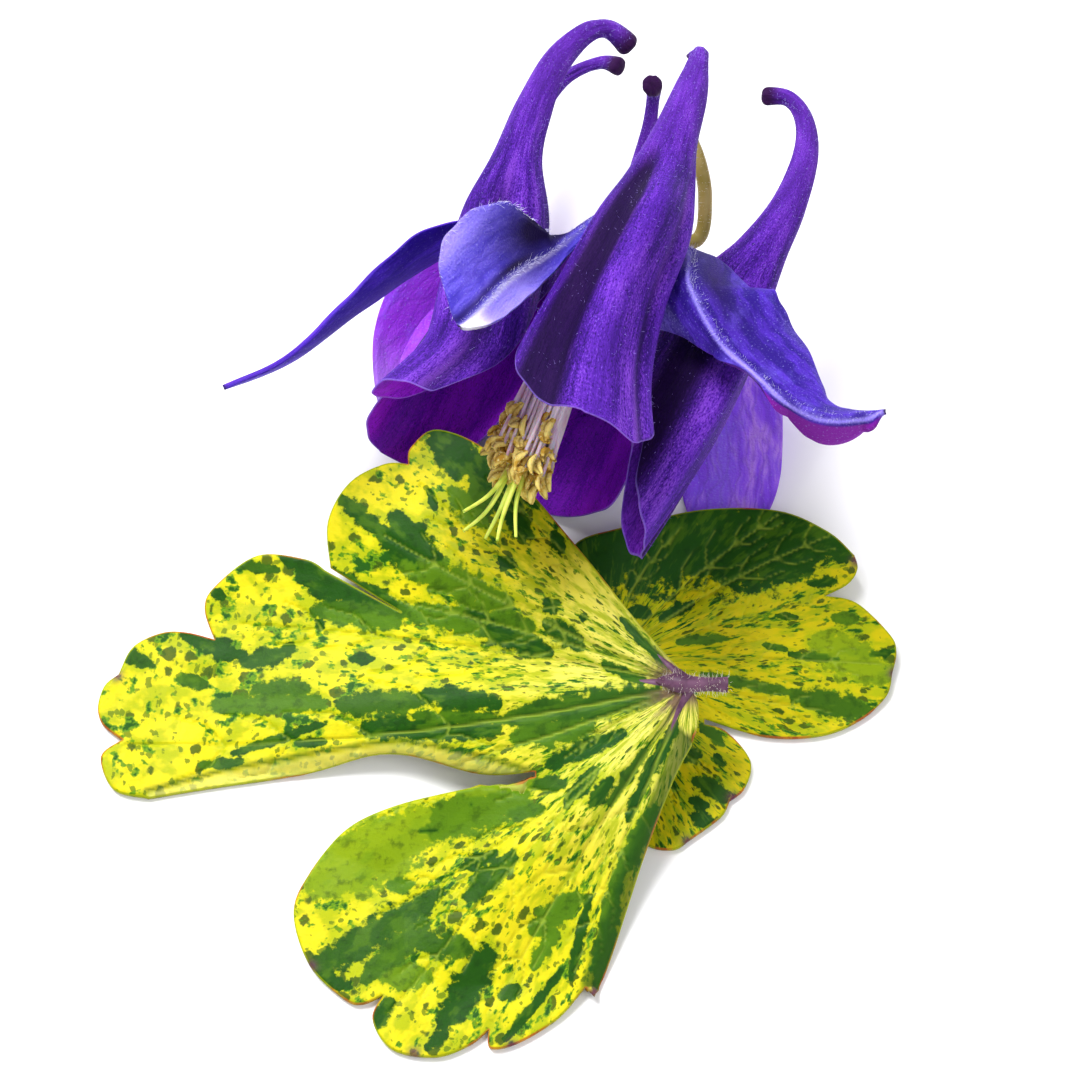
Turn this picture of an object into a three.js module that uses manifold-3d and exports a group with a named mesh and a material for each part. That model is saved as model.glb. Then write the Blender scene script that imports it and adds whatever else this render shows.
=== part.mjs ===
// A picked columbine flower lying on its side, with two lobed leaflets of the same plant.
// Millimetres, +Z up; the surface they lie on is z = 0.
// The flower has its own frame: z runs along its axis from the mouth to the spurs, x points to
// its upper side. A petal or sepal is shaped there as (out, side, along): out from the axis,
// sideways round it and along it. It is then turned round the axis to its own place.

import * as THREE from 'three';
import { mergeVertices } from 'three/addons/utils/BufferGeometryUtils.js';
import Module from 'manifold-3d';

const wasm = await Module();
wasm.setup();

const { PI, cos, exp, floor, hypot, max, min, round, sin, sqrt } = Math;
const DEGREE = PI / 180;

// ---- driving dimensions ----

const THICK = 0.6;            // sepals and leaf blades
const LIE = THICK / 2;        // height of the middle of a blade that lies on the surface
const PETAL_WALL = 0.7;       // petal wall, measured across the funnel
const GAP = 0.3;              // clear space between neighbouring pieces

const FLOWER_PLACE = new THREE.Vector3(5.3, 15.5, 11.5);      // middle of the receptacle
const FLOWER_AXIS = new THREE.Vector3(0.315, 0.9455, -0.07);  // from the mouth to the spurs
const MIDDLE = [-2.8, -1.7];  // half way across the whole group, made the origin

// One petal from the spur's knob to the end of its blade:
// out from the axis, height along it, half depth, half width.
const PETAL_PROFILE = [
  [5.2, 14.7, 0.85, 0.85],
  [6.9, 15.0, 0.68, 0.68],
  [8.3, 13.6, 0.8, 0.8],
  [9.1, 10.8, 1.15, 1.15],
  [9.2, 7.0, 1.5, 1.5],
  [8.7, 2.8, 2.2, 2.1],
  [7.9, -1.5, 3.8, 2.9],
  [8.3, -6.5, 4.2, 4.2],
  [9.2, -12.0, 4.0, 5.1],
  [10.0, -17.3, 3.4, 5.7],
];
const PETAL_END = PETAL_PROFILE.length - 1;
const MOUTH = 6;              // row of the profile at the funnel's mouth
const KNOB = 0.35;            // share of the first step that the knob's round end takes
const SPUR_STEPS = [0.08, 0.25, 0.6, 1.1, 1.7, 2.4, 3.2, 4.1];
const FUNNEL_STEPS = 6;
const HOLLOW_FROM = 4.3;      // the spur is solid below this step
const INNER_LIP = 6.2;        // step where the rim passes next to the receptacle
const RIM_SWEEP = 0.5;        // how fast the rim leaves the blade's end
const FOLD_ROWS = 2;          // rows over which a fold rises
const PETAL_SIDES = 18;

// Angle round the axis, turn of the blade away from its spur, and stretch of the blade and of the
// spur. Then, for each row of the profile, the move outwards, the move sideways and the size.
// Folds and lips have a direction round the funnel, 0 on its outer side, and a width: a fold adds
// a height and the row it starts from, a lip adds how many rows longer the rim is there.
const PETALS = {
  petal_front: {
    angle: 12, turn: 0, blade: 1.03, spur: 0.87,
    out: [0, -1.25, -2.2, -2.5, -2.2, -1.25, 0, 0, 0, 0],
    side: [-0.3, -0.2, -0.1, 0, 0, 0, -0.3, -0.75, -0.8, 0],
    size: [0.9, 0.9, 1, 1.05, 1.05, 1.05, 1, 0.78, 0.8, 0.95],
    folds: [[-8, 16, 0.4, 4], [-48, 20, -0.9, 5], [40, 18, -0.35, 5]],
    lips: [[60, 45, 0.2], [0, 30, 0.1]],
  },
  petal_right: {
    angle: 84, turn: 0, blade: 1.12, spur: 0.97,
    out: [0, 0.1, 0.2, 0.3, 0.2, 0, -0.2, -1, -2.7, -4.5],
    side: [0, 0, 0, 0, 0, 0, 0, 0, 0, 0],
    size: [0.8, 0.8, 0.8, 0.76, 0.78, 0.8, 0.8, 0.8, 0.8, 0.8],
    folds: [[20, 22, -0.4, 5], [-30, 16, 0.3, 5], [130, 40, 0.6, 7]],
    lips: [[110, 40, 0.6]],
  },
  petal_rear: {
    angle: 205, turn: -34, blade: 0.81, spur: 1.05,
    out: [0, 0, 0, 0, 0, 0, 0, -0.3, -0.9, -1.5],
    side: [0.5, -0.4, -1.1, -1, -0.4, 0.1, 0.2, 0.6, 1.4, 2.1],
    size: [0.95, 0.75, 0.65, 0.65, 0.7, 0.8, 0.9, 0.9, 0.9, 0.9],
    folds: [[0, 25, 0.3, 5]],
    lips: [],
  },
  petal_rear_left: {
    angle: 245, turn: -14, blade: 0.88, spur: 1,
    out: [-0.1, 0, 0.9, 1.5, 1.3, 0.9, 0.6, 0.8, 1.6, 2.7],
    side: [0, 0, 0, 0, 0, 0, 0, 0, 0, 0],
    size: [0.85, 0.65, 0.6, 0.62, 0.7, 0.8, 0.9, 0.85, 0.8, 0.78],
    folds: [[0, 18, 0.4, 5], [180, 30, -0.3, 5]],
    lips: [],
  },
  petal_left: {
    angle: 300, turn: 0, blade: 1.02, spur: 0.95,
    out: [-0.8, -0.4, -0.3, -0.1, 0.1, 0.5, 0.6, -0.5, -1.8, -0.3],
    side: [0, 0, 0, -0.3, -0.4, -0.3, 0, 0, 0, 0],
    size: [1, 0.9, 0.9, 0.85, 0.8, 0.75, 0.77, 0.75, 0.75, 0.85],
    folds: [[-5, 18, 0.3, 5], [45, 24, -0.4, 5]],
    lips: [[45, 45, 0.5]],
  },
};

// Spine points (out, side, along) and twist from root to tip. Then, for the left and the right
// side, the half width at even steps from root to tip, and how steeply the face climbs outwards
// next to the midrib, at KEEL_EDGE and at the margin: first near the root, then near the tip.
const SEPALS = {
  sepal_left: {
    angle: 268, twist: 0,
    spine: [[2.4, 0, 0.9], [7, 0, 1.2], [11.2, 0, -2.9], [14.8, 0, -8.2], [18, 0, -13.6],
      [21.6, 0, -17]],
    left: { widths: [0.3, 0.5, 2.5, 4.1, 3, 1.2, 0.3], root: [0, 6, 20], tip: [0, 6, 20] },
    right: { widths: [0.3, 0.5, 2.5, 4, 2.6, 0.9, 0.3], root: [0, 6, 20], tip: [0, 6, 20] },
  },
  sepal_front_left: {
    angle: 336, twist: 5,
    spine: [[2.4, 0, 0.9], [5.4, 1.1, 0.8], [7.9, -0.2, -4.1], [11.6, 0.1, -8.6], [13, -0.5, -11.8],
      [13.2, -1.4, -13.6]],
    left: { widths: [0.3, 0.3, 0.5, 4.2, 5, 3.8, 0.3], root: [90, 110, 110], tip: [30, 50, 50] },
    right: {
      widths: [0.3, 0.3, 0.8, 1.6, 1.7, 1.2, 0.3], root: [-100, -95, -20], tip: [-65, -65, -57],
    },
  },
  sepal_right: {
    angle: 48, twist: 37,
    spine: [[2.4, 0, 0.9], [6.9, -0.6, -0.5], [9.6, -1.6, -4.2], [12.3, 0.9, -7.7],
      [16.7, 5, -10.1], [20.3, 7.6, -8.8]],
    left: {
      widths: [0.3, 0.4, 1.8, 2.5, 1.6, 3.1, 0.3], root: [-60, -80, -85], tip: [-120, -160, -160],
    },
    right: { widths: [0.3, 0.5, 4.8, 5.4, 4.9, 2.2, 0.3], root: [15, 15, 18], tip: [15, 27, 18] },
  },
  sepal_rear_right: {
    angle: 135, twist: -45,
    spine: [[2.4, 0, 0.9], [7, 0, 1.2], [11.4, 0, -1.5], [15.6, 0.3, -7.5], [16.4, 0.9, -13.2]],
    left: { widths: [0.3, 0.5, 2.6, 3.5, 3.3, 2.6, 0.3], root: [0, 3, 10], tip: [0, 3, 10] },
    right: { widths: [0.3, 0.5, 3, 4.6, 4.4, 3.2, 0.3], root: [0, 3, 10], tip: [0, 3, 10] },
  },
  sepal_rear_left: {
    angle: 211, twist: 0,
    spine: [[2.4, 0, 0.9], [6, -0.3, 2.2], [10, -0.2, 2.5], [13.4, 1.2, 1.6], [15.8, 4.3, -1.2],
      [16.8, 5.5, -5.5], [16.9, 5, -10.5]],
    left: { widths: [0.3, 0.5, 2.5, 4.5, 3.7, 2.2, 0.3], root: [0, 2, 5], tip: [0, 2, 5] },
    right: { widths: [0.3, 0.5, 2.5, 4.5, 3.7, 2.2, 0.3], root: [0, 2, 5], tip: [0, 2, 5] },
  },
};
const SEPAL_STEPS = 14;
const HALF_STRIPS = 4;        // strips of the mesh on either side of the midrib
const SEPAL_TIP = 0.3;        // half width left at the root and the tip
const KEEL_EDGE = 0.3;        // where the climb beside the midrib ends, as a share of the width
const STEEP_FROM = 1.5;       // half width at which the sides climb fully; narrower is flatter

// The leaflets, in plan round the point where the blade meets its stalk. The margin is one
// smooth curve from each notch, tooth or slit to the next; each begins where the last one ended.
// The blade is high in the middle: place and height of that point. Lie gives a direction, the
// height of the margin there and the span of the slope down to it; a ridge gives the direction,
// width and height of a swell along a main vein.
const LEAFLETS = {
  leaflet_front: {
    place: [9.7, -12.5], height: 7, from: 100, to: 300, reach: 42,
    margin: [
      [[0.2, -0.5], [-0.3, 0.6], [-3.2, 4.3], [-7.1, 9.7], [-12.3, 16.2], [-16.3, 18.5],
        [-18.2, 17.4], [-18.4, 16.2]],
      [[-20, 16.3], [-22.3, 15.2], [-23.7, 12.7], [-23.5, 9.7]],
      [[-18.8, 6.5]],
      [[-23.9, 9.6]],
      [[-25.2, 10.4], [-28.4, 10.8], [-31.2, 8.9], [-31.9, 7.4], [-31.2, 5.3]],
      [[-32.9, 5.8], [-34.7, 5.8], [-36.6, 4.8], [-37.5, 2.9]],
      [[-38.4, 2.1], [-38.8, 0.6], [-38.4, -0.6], [-37.1, -1.6]],
      [[-38.5, -2.8], [-37.6, -5], [-35.3, -5.6]],
      [[-31.3, -4.9], [-25.4, -4], [-19.5, -2.9], [-13.6, -4.4], [-10, -4.7]],
      [[-10, -5]],
      [[-14.8, -5.6], [-19.3, -6.5], [-22.5, -8], [-24.8, -10.9], [-25.7, -13.5], [-24.6, -16.9],
        [-22.4, -19.1], [-21.2, -19.5], [-19.8, -18.9]],
      [[-20.5, -20.5], [-19.2, -22.5], [-16.4, -23], [-14.2, -22.2], [-13, -21.2]],
      [[-12.9, -22.4], [-11.2, -22.1], [-8.6, -20.5], [-6.8, -18.5]],
      [[-6.2, -19.1]],
      [[-5, -15.9], [-3, -10], [-1, -5.2], [0.4, -2.7], [0.5, -1.2], [0.2, -0.5]],
    ],
    lie: [[126, 5, 26], [140, 4.2, 26], [165, 0.8, 32], [178, -0.5, 36], [190, 0, 36],
      [208, -0.5, 30], [235, -0.5, 28], [253, 0.6, 22]],
    ridges: [[148, 8, 0.8], [178, 8, 1], [226, 8, 1]],
    stalk: [[-1.6, 0.3, 7], [0, 0, 7.1], [1.2, 0, 7.1], [2.4, 0, 7]],
  },
  leaflet_back: {
    place: [4.3, -9.6], height: 2.6, from: -105, to: 140, reach: 22,
    margin: [
      [[0, -0.3], [0, 0.3], [-2.2, 3], [-2.6, 6.5], [-1.8, 8.6], [1.1, 9.6], [6.6, 10.9],
        [11.5, 10.9], [14.7, 9.5], [16.5, 7.9]],
      [[16.7, 7], [16.1, 6], [14.5, 5.1]],
      [[16.6, 4.7], [18.8, 2.6], [19.2, 1.4], [18.9, 0]],
      [[18.5, -1.5], [16.8, -3.1], [14.2, -4.2], [10.6, -4.3], [6.5, -3.2]],
      [[6.5, -3.5]],
      [[8, -4], [9.5, -6], [9.1, -7.8], [8.1, -8.7]],
      [[7.5, -9.8], [5.4, -11.4]],
      [[4.4, -12], [2.7, -11.7], [1.2, -10], [-0.5, -6], [0, -0.3]],
    ],
    lie: [[-80, -0.3, 13], [-30, -0.3, 14], [0, 0.4, 20], [30, 1.6, 20], [60, 2.2, 14],
      [104, 2.2, 10]],
    ridges: [[30, 12, 0.5], [0, 12, 0.6]],
    stalk: null,
  },
};
const LEAF_COLUMN = 5;        // degrees between columns of the blade's mesh
const LEAF_ROW = 3.7;         // and distance between its rows
const LEAF_START = 0.35;      // the first row, next to the middle
const MARGIN_STEPS = 2;       // straight pieces of the margin from each point to the next
const MEND = 0.02;            // cuts that leave edges shorter than this have them closed up
const STALK_RADIUS = 0.5;

// ---- small tools ----

const clamp01 = (x) => min(max(x, 0), 1);
const smooth = (x) => clamp01(x) ** 2 * (3 - 2 * clamp01(x));
const mix = (a, b, t) => a + (b - a) * t;
const bell = (x) => exp(-x * x);

// Difference of two directions, from -180 to 180 degrees.
const apart = (a, b) => ((a - b + 540) % 360) - 180;

// Smooth curve through rows of numbers; step counts the rows.
function through(rows, step) {
  const last = rows.length - 1;
  const i = min(max(floor(step), 0), last - 1);
  const t = step - i;
  const [a, b, c, d] = [rows[max(i - 1, 0)], rows[i], rows[i + 1], rows[min(i + 2, last)]];
  return b.map((value, k) => value + t * 0.5 * (c[k] - a[k]
    + t * (2 * a[k] - 5 * value + 4 * c[k] - d[k] + t * (3 * (value - c[k]) + d[k] - a[k]))));
}

// Straight interpolation of rows [x, value, value, ...] at x.
function between(rows, x) {
  const i = min(max(rows.findIndex((row) => row[0] > x), 1), rows.length - 1);
  const t = clamp01((x - rows[i - 1][0]) / (rows[i][0] - rows[i - 1][0]));
  return rows[i].slice(1).map((value, k) => mix(rows[i - 1][k + 1], value, t));
}

// Seeded random numbers from 0 to 1.
function randomFrom(seed) {
  let state = seed;
  return () => {
    state = (state * 1664525 + 1013904223) % 4294967296;
    return state / 4294967296;
  };
}

function bodyFrom(points, triangles) {
  const geometry = new THREE.BufferGeometry().setFromPoints(points);
  let volume = 0;
  const normal = new THREE.Vector3();
  for (const [a, b, c] of triangles) {
    volume += points[a].dot(normal.crossVectors(points[b], points[c]));
  }
  const outward = volume > 0 ? triangles : triangles.map(([a, b, c]) => [a, c, b]);
  geometry.setIndex(outward.flat());
  geometry.computeVertexNormals();
  return geometry;
}

// Closed body: rings of equally many points between a start and an end point.
function ringBody(start, rings, end) {
  const sides = rings[0].length;
  const points = [start, ...rings.flat(), end];
  const at = (ring, side) => 1 + ring * sides + (side % sides);
  const triangles = [];
  for (let side = 0; side < sides; side++) {
    triangles.push([0, at(0, side + 1), at(0, side)]);
    for (let ring = 0; ring < rings.length - 1; ring++) {
      triangles.push([at(ring, side), at(ring, side + 1), at(ring + 1, side + 1)]);
      triangles.push([at(ring, side), at(ring + 1, side + 1), at(ring + 1, side)]);
    }
    triangles.push([points.length - 1, at(rings.length - 1, side), at(rings.length - 1, side + 1)]);
  }
  return bodyFrom(points, triangles);
}

// Closed sheet: a grid of middle points made into two faces split alike, joined round the edge.
function sheetBody(grid, thick) {
  const rows = grid.length;
  const columns = grid[0].length;
  const faces = [0.5, -0.5].map((half) => grid.map((line, i) => line.map((middle, j) => {
    const across = grid[i][min(j + 1, columns - 1)].clone().sub(grid[i][max(j - 1, 0)]);
    const down = grid[min(i + 1, rows - 1)][j].clone().sub(grid[max(i - 1, 0)][j]);
    const normal = across.cross(down).normalize();
    return middle.clone().addScaledVector(normal, half * thick);
  })));
  const top = (i, j) => i * columns + j;
  const bottom = (i, j) => (rows + i) * columns + j;
  const triangles = [];
  for (let i = 0; i < rows - 1; i++) {
    for (let j = 0; j < columns - 1; j++) {
      triangles.push([top(i, j), top(i, j + 1), top(i + 1, j + 1)]);
      triangles.push([top(i, j), top(i + 1, j + 1), top(i + 1, j)]);
      triangles.push([bottom(i, j), bottom(i + 1, j + 1), bottom(i, j + 1)]);
      triangles.push([bottom(i, j), bottom(i + 1, j), bottom(i + 1, j + 1)]);
    }
  }
  const edge = [];
  for (let j = 0; j < columns - 1; j++) edge.push([0, j]);
  for (let i = 0; i < rows - 1; i++) edge.push([i, columns - 1]);
  for (let j = columns - 1; j > 0; j--) edge.push([rows - 1, j]);
  for (let i = rows - 1; i > 0; i--) edge.push([i, 0]);
  edge.forEach((here, k) => {
    const next = edge[(k + 1) % edge.length];
    triangles.push([top(...next), top(...here), bottom(...here)]);
    triangles.push([top(...next), bottom(...here), bottom(...next)]);
  });
  return bodyFrom(faces.flat(2), triangles);
}

// Round stem along a smooth path: points [x, y, z, radius].
function stemBody(path, sides, steps) {
  const curve = new THREE.CatmullRomCurve3(path.map(([x, y, z]) => new THREE.Vector3(x, y, z)));
  const frames = curve.computeFrenetFrames(steps, false);
  const rings = [];
  for (let i = 0; i <= steps; i++) {
    const radius = through(path, (i / steps) * (path.length - 1))[3];
    const centre = curve.getPointAt(i / steps);
    rings.push(Array.from({ length: sides }, (_, k) => centre.clone()
      .addScaledVector(frames.normals[i], radius * cos((2 * PI * k) / sides))
      .addScaledVector(frames.binormals[i], radius * sin((2 * PI * k) / sides))));
  }
  return ringBody(curve.getPointAt(0), rings, curve.getPointAt(1));
}

// Egg-shaped body from one point to another.
function eggBody(from, to, radius, sides) {
  const axis = to.clone().sub(from);
  const side = new THREE.Vector3(1, 0.3, 0.2).cross(axis).normalize();
  const other = axis.clone().normalize().cross(side);
  const rings = [0.12, 0.5, 0.88].map((t) => Array.from({ length: sides }, (_, k) => from.clone()
    .addScaledVector(axis, t)
    .addScaledVector(side, radius * sin(PI * mix(0.2, 0.8, t)) * cos((2 * PI * k) / sides))
    .addScaledVector(other, radius * sin(PI * mix(0.2, 0.8, t)) * sin((2 * PI * k) / sides))));
  return ringBody(from, rings, to);
}

function solid(geometry) {
  const shared = geometry.clone();
  shared.deleteAttribute('normal');
  shared.deleteAttribute('uv');
  const merged = mergeVertices(shared, 1e-4);
  return new wasm.Manifold(new wasm.Mesh({
    numProp: 3,
    vertProperties: new Float32Array(merged.attributes.position.array),
    triVerts: new Uint32Array(merged.index.array),
  }));
}

function geometryOf(manifold) {
  const { vertProperties, triVerts } = manifold.getMesh();
  const geometry = new THREE.BufferGeometry();
  geometry.setAttribute('position', new THREE.BufferAttribute(vertProperties, 3));
  geometry.setIndex(new THREE.BufferAttribute(triVerts, 1));
  geometry.computeVertexNormals();
  return geometry;
}

const joined = (geometries) => geometries.map(solid).reduce((whole, next) => whole.add(next));

// The largest body, without loose scraps.
const largest = (manifold) => manifold.decompose()
  .reduce((best, next) => (next.volume() > best.volume() ? next : best));

// ---- the flower's frame ----

const flower = new THREE.Group();
flower.position.copy(FLOWER_PLACE);
const axis = FLOWER_AXIS.clone().normalize();
const upper = new THREE.Vector3(0, 0, 1).addScaledVector(axis, -axis.z).normalize();
flower.quaternion.setFromRotationMatrix(new THREE.Matrix4()
  .makeBasis(upper, axis.clone().cross(upper), axis));
flower.updateMatrix();

const turned = (angle) => flower.matrix.clone()
  .multiply(new THREE.Matrix4().makeRotationZ(angle * DEGREE));

// Lifts a point of a turned piece so that it is at least this high above the surface.
function lifted(point, matrix, height) {
  point.applyMatrix4(matrix);
  point.z = max(point.z, height);
  return point.applyMatrix4(matrix.clone().invert());
}

// ---- petals ----

// The profile of one petal: its own moves, sizes, stretch and turn.
function petalRows({ turn, blade, spur, out, side, size }) {
  return PETAL_PROFILE.map(([far, along, deep, wide], row) => [
    far + out[row], along * (along < 0 ? blade : spur), deep * size[row], wide * size[row],
    turn * smooth((row - 1) / (MOUTH + 1)), side[row]]);
}

function petalRim({ lips }, around) {
  const plain = mix(INNER_LIP, PETAL_END, ((1 + cos(around)) / 2) ** RIM_SWEEP);
  return min(PETAL_END, lips.reduce((rim, [angle, width, longer]) => rim
    + longer * bell(apart(around / DEGREE, angle) / width), plain));
}

function petalPoint({ folds }, rows, step, around, inset) {
  const [out, along, deep, wide, turn, side] = through(rows, step);
  const ahead = through(rows, min(step + 0.05, PETAL_END));
  const behind = through(rows, max(step - 0.05, 0));
  const length = hypot(ahead[0] - behind[0], ahead[1] - behind[1]);
  const knob = sqrt(1 - (1 - clamp01(step / KNOB)) ** 2);
  const swell = folds.reduce((sum, [angle, width, height, first]) => sum + height
    * bell(apart(around / DEGREE, angle) / width) * smooth((step - first) / FOLD_ROWS), -inset);
  const lift = ((deep * knob + swell) * cos(around)) / length;
  return new THREE.Vector3(
    out - (ahead[1] - behind[1]) * lift,
    side + (wide * knob + swell) * sin(around),
    along + (ahead[0] - behind[0]) * lift,
  ).applyAxisAngle(new THREE.Vector3(0, 0, 1), turn * DEGREE);
}

function petalBody(petal) {
  const rows = petalRows(petal);
  const matrix = turned(petal.angle);
  const angles = Array.from({ length: PETAL_SIDES }, (_, k) => (2 * PI * k) / PETAL_SIDES);
  const ring = (start, share, inset) => angles.map((around) => lifted(petalPoint(
    petal, rows, mix(start, petalRim(petal, around), share), around, inset), matrix, inset));
  const rings = SPUR_STEPS.map((step) => ring(step, 0, 0));
  for (let k = 1; k <= FUNNEL_STEPS; k++) {
    rings.push(ring(SPUR_STEPS.at(-1), k / FUNNEL_STEPS, 0));
  }
  for (let k = FUNNEL_STEPS; k >= 0; k--) {
    rings.push(ring(HOLLOW_FROM, k / FUNNEL_STEPS, PETAL_WALL));
  }
  const centre = (step) => {
    const [out, along, , , turn, side] = through(rows, step);
    return new THREE.Vector3(out, side, along)
      .applyAxisAngle(new THREE.Vector3(0, 0, 1), turn * DEGREE);
  };
  return ringBody(centre(0), rings, centre(HOLLOW_FROM - 0.1));
}

// ---- sepals ----

// Points from the midrib to one margin at share t of the length; way is -1 left and +1 right.
function sepalSide({ widths, root, tip }, way, t, midrib, side, outer) {
  const width = through(widths.map((value) => [value]), t * (widths.length - 1))[0];
  const half = max(width, SEPAL_TIP);
  const climbs = [0, KEEL_EDGE, 1].map((share, k) => [share, mix(root[k], tip[k], t)]);
  const walk = midrib.clone();
  return Array.from({ length: HALF_STRIPS }, (_, k) => {
    const climb = between(climbs, (k + 0.5) / HALF_STRIPS)[0] * DEGREE * clamp01(half / STEEP_FROM);
    walk.addScaledVector(side, way * cos(climb) * half / HALF_STRIPS);
    walk.addScaledVector(outer, sin(climb) * half / HALF_STRIPS);
    return walk.clone();
  });
}

function sepalBody(sepal) {
  const matrix = turned(sepal.angle);
  const last = sepal.spine.length - 1;
  const grid = [];
  for (let i = 0; i <= SEPAL_STEPS; i++) {
    const t = i / SEPAL_STEPS;
    const midrib = new THREE.Vector3(...through(sepal.spine, t * last));
    const ahead = new THREE.Vector3(...through(sepal.spine, min(t + 0.02, 1) * last));
    const behind = new THREE.Vector3(...through(sepal.spine, max(t - 0.02, 0) * last));
    const forward = ahead.sub(behind).normalize();
    const side = new THREE.Vector3(0, 1, 0).addScaledVector(forward, -forward.y).normalize();
    side.applyAxisAngle(forward, sepal.twist * t * DEGREE);
    const outer = forward.clone().cross(side);
    const line = [
      ...sepalSide(sepal.left, -1, t, midrib, side, outer).reverse(),
      midrib,
      ...sepalSide(sepal.right, 1, t, midrib, side, outer),
    ];
    grid.push(line.map((point) => lifted(point, matrix, LIE)));
  }
  return sheetBody(grid, THICK);
}

// ---- leaflets ----

function leafHeight(leaf, direction, distance) {
  const [margin, span] = between(leaf.lie, direction);
  const s = clamp01(distance / span);
  const ridges = leaf.ridges.map(([angle, width, height]) => (
    height * exp(-(((direction - angle) / width) ** 2)) * 4 * s * (1 - s)));
  const height = mix(margin, leaf.height, (1 - s) ** 1.6) + ridges.reduce((a, b) => a + b);
  return max(height, LIE);
}

// The outline of a leaflet, from smooth curves that meet at its corners.
function leafOutline({ margin }) {
  const outline = [];
  for (const curve of margin) {
    const corner = outline.slice(-1);
    const points = [...corner, ...curve.map(([x, y]) => new THREE.Vector2(x, y))];
    const steps = (points.length - 1) * (points.length > 2 ? MARGIN_STEPS : 1);
    outline.push(...new THREE.SplineCurve(points).getPoints(steps).slice(corner.length));
  }
  return outline.slice(0, -1);
}

// A domed fan, wider than the leaflet, cut to the outline.
function leafBody(leaf) {
  const columns = round((leaf.to - leaf.from) / LEAF_COLUMN);
  const grid = [];
  for (let distance = LEAF_START; distance < leaf.reach; distance += LEAF_ROW) {
    grid.push(Array.from({ length: columns + 1 }, (_, k) => {
      const direction = mix(leaf.from, leaf.to, k / columns);
      const bearing = direction * DEGREE;
      return new THREE.Vector3(distance * cos(bearing), distance * sin(bearing),
        leafHeight(leaf, direction, distance));
    }));
  }
  const outline = new THREE.Shape(leafOutline(leaf));
  const prism = new THREE.ExtrudeGeometry(outline, { depth: leaf.height + 3, bevelEnabled: false });
  const cut = solid(sheetBody(grid, THICK)).intersect(solid(prism.translate(0, 0, -1)));
  const blade = largest(cut.simplify(MEND));
  if (!leaf.stalk) return geometryOf(blade);
  const stalk = stemBody(leaf.stalk.map((point) => [...point, STALK_RADIUS]), 8, 4);
  return geometryOf(largest(blade.add(solid(stalk)).simplify(MEND)));
}

// ---- stalk, pistil and stamens ----

const COLUMN_TILT = 1.5;        // the stamens lean away from the flower's axis
const COLUMN_LENGTH = 14;
const COLUMN_RADIUS = 1.75;
const FILAMENTS = 21;
const FILAMENT_RADIUS = 0.28;
const ANTHER_LENGTH = 1.8;
const ANTHER_RADIUS = 0.5;

const STALK_PATH = [
  [0, 0, 0.6, 0.9], [-0.4, 1.6, 2.2, 0.6], [-1.3, 4.2, 3.6, 0.48], [0.1, 3.9, 6, 0.47],
  [1.2, 2.75, 8, 0.47], [1.4, 1.4, 9.5, 0.47], [1, 0.2, 10, 0.47],
];

function stalkBody() {
  const receptacle = new THREE.LatheGeometry([
    new THREE.Vector2(0, -0.4), new THREE.Vector2(1.5, -0.4), new THREE.Vector2(1.9, 0.1),
    new THREE.Vector2(1.8, 0.9), new THREE.Vector2(1, 1.7), new THREE.Vector2(0, 1.9),
  ], 16).rotateX(PI / 2);
  return geometryOf(joined([receptacle, stemBody(STALK_PATH, 8, 18)]));
}

// Five slim carpels; each ends in a style that spreads outwards.
// Angle round the column, spread of the tip and length.
const STYLES = [
  [0, 2.2, 21.5], [75, 1.6, 22.8], [140, 2.6, 21.8], [215, 2.9, 22.4], [285, 2.6, 21.6],
];

function carpels(extra) {
  return STYLES.map(([angle, spread, length]) => {
    const place = (out, along, radius) => [
      out * cos(angle * DEGREE), out * sin(angle * DEGREE), -along, radius + extra];
    return stemBody([
      place(0.35, 0.75 - extra, 0.4), place(0.45, 5, 0.42), place(0.4, 11, 0.36),
      place(0.7, 16, 0.27), place(spread, length + extra, 0.24)], 5, 6);
  });
}

function stamens(random) {
  const bodies = [stemBody([[0, 0, -0.75, COLUMN_RADIUS], [0, 0, -6, COLUMN_RADIUS],
    [0, 0, -COLUMN_LENGTH, COLUMN_RADIUS - 0.2]], 10, 3)];
  for (let i = 0; i < FILAMENTS; i++) {
    const angle = i * 137.5 * DEGREE;
    const lean = 0.3 + 0.7 * random();
    const length = 16 + 3 * random() - (i % 9 === 0 ? 3.5 : 0);
    const at = (out, along) => new THREE.Vector3(out * cos(angle), out * sin(angle), -along);
    const end = at(COLUMN_RADIUS + 1.1 * lean, length);
    const path = [at(COLUMN_RADIUS - 0.25, 3), at(COLUMN_RADIUS - 0.05, 10), end];
    bodies.push(stemBody(path.map((point) => [...point.toArray(), FILAMENT_RADIUS]), 4, 2));
    const tip = at(COLUMN_RADIUS + 1.1 * lean + random() - 0.5, length + ANTHER_LENGTH * 0.8);
    const root = end.clone().addScaledVector(tip.clone().sub(end), -0.25);
    bodies.push(eggBody(root, tip, ANTHER_RADIUS, 5));
  }
  return bodies;
}

function stamensBody() {
  const whole = joined(stamens(randomFrom(7))).subtract(joined(carpels(GAP)));
  return geometryOf(largest(whole));
}

// ---- pieces ----

function piece(name, geometry, colour, roughness) {
  const material = new THREE.MeshStandardMaterial({ color: colour, roughness, metalness: 0 });
  const mesh = new THREE.Mesh(geometry, material);
  mesh.name = name;
  return mesh;
}

const PETAL_VIOLET = 0x3f2196;
const SEPAL_BLUE = 0x5a55d8;
const LEAF_YELLOW = 0xd8d22a;
const LEAF_GREEN = 0x7f9a2a;
const STALK_BROWN = 0x8a7a3a;
const ANTHER_OCHRE = 0xc9ad52;
const STYLE_GREEN = 0xd8e070;

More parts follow.
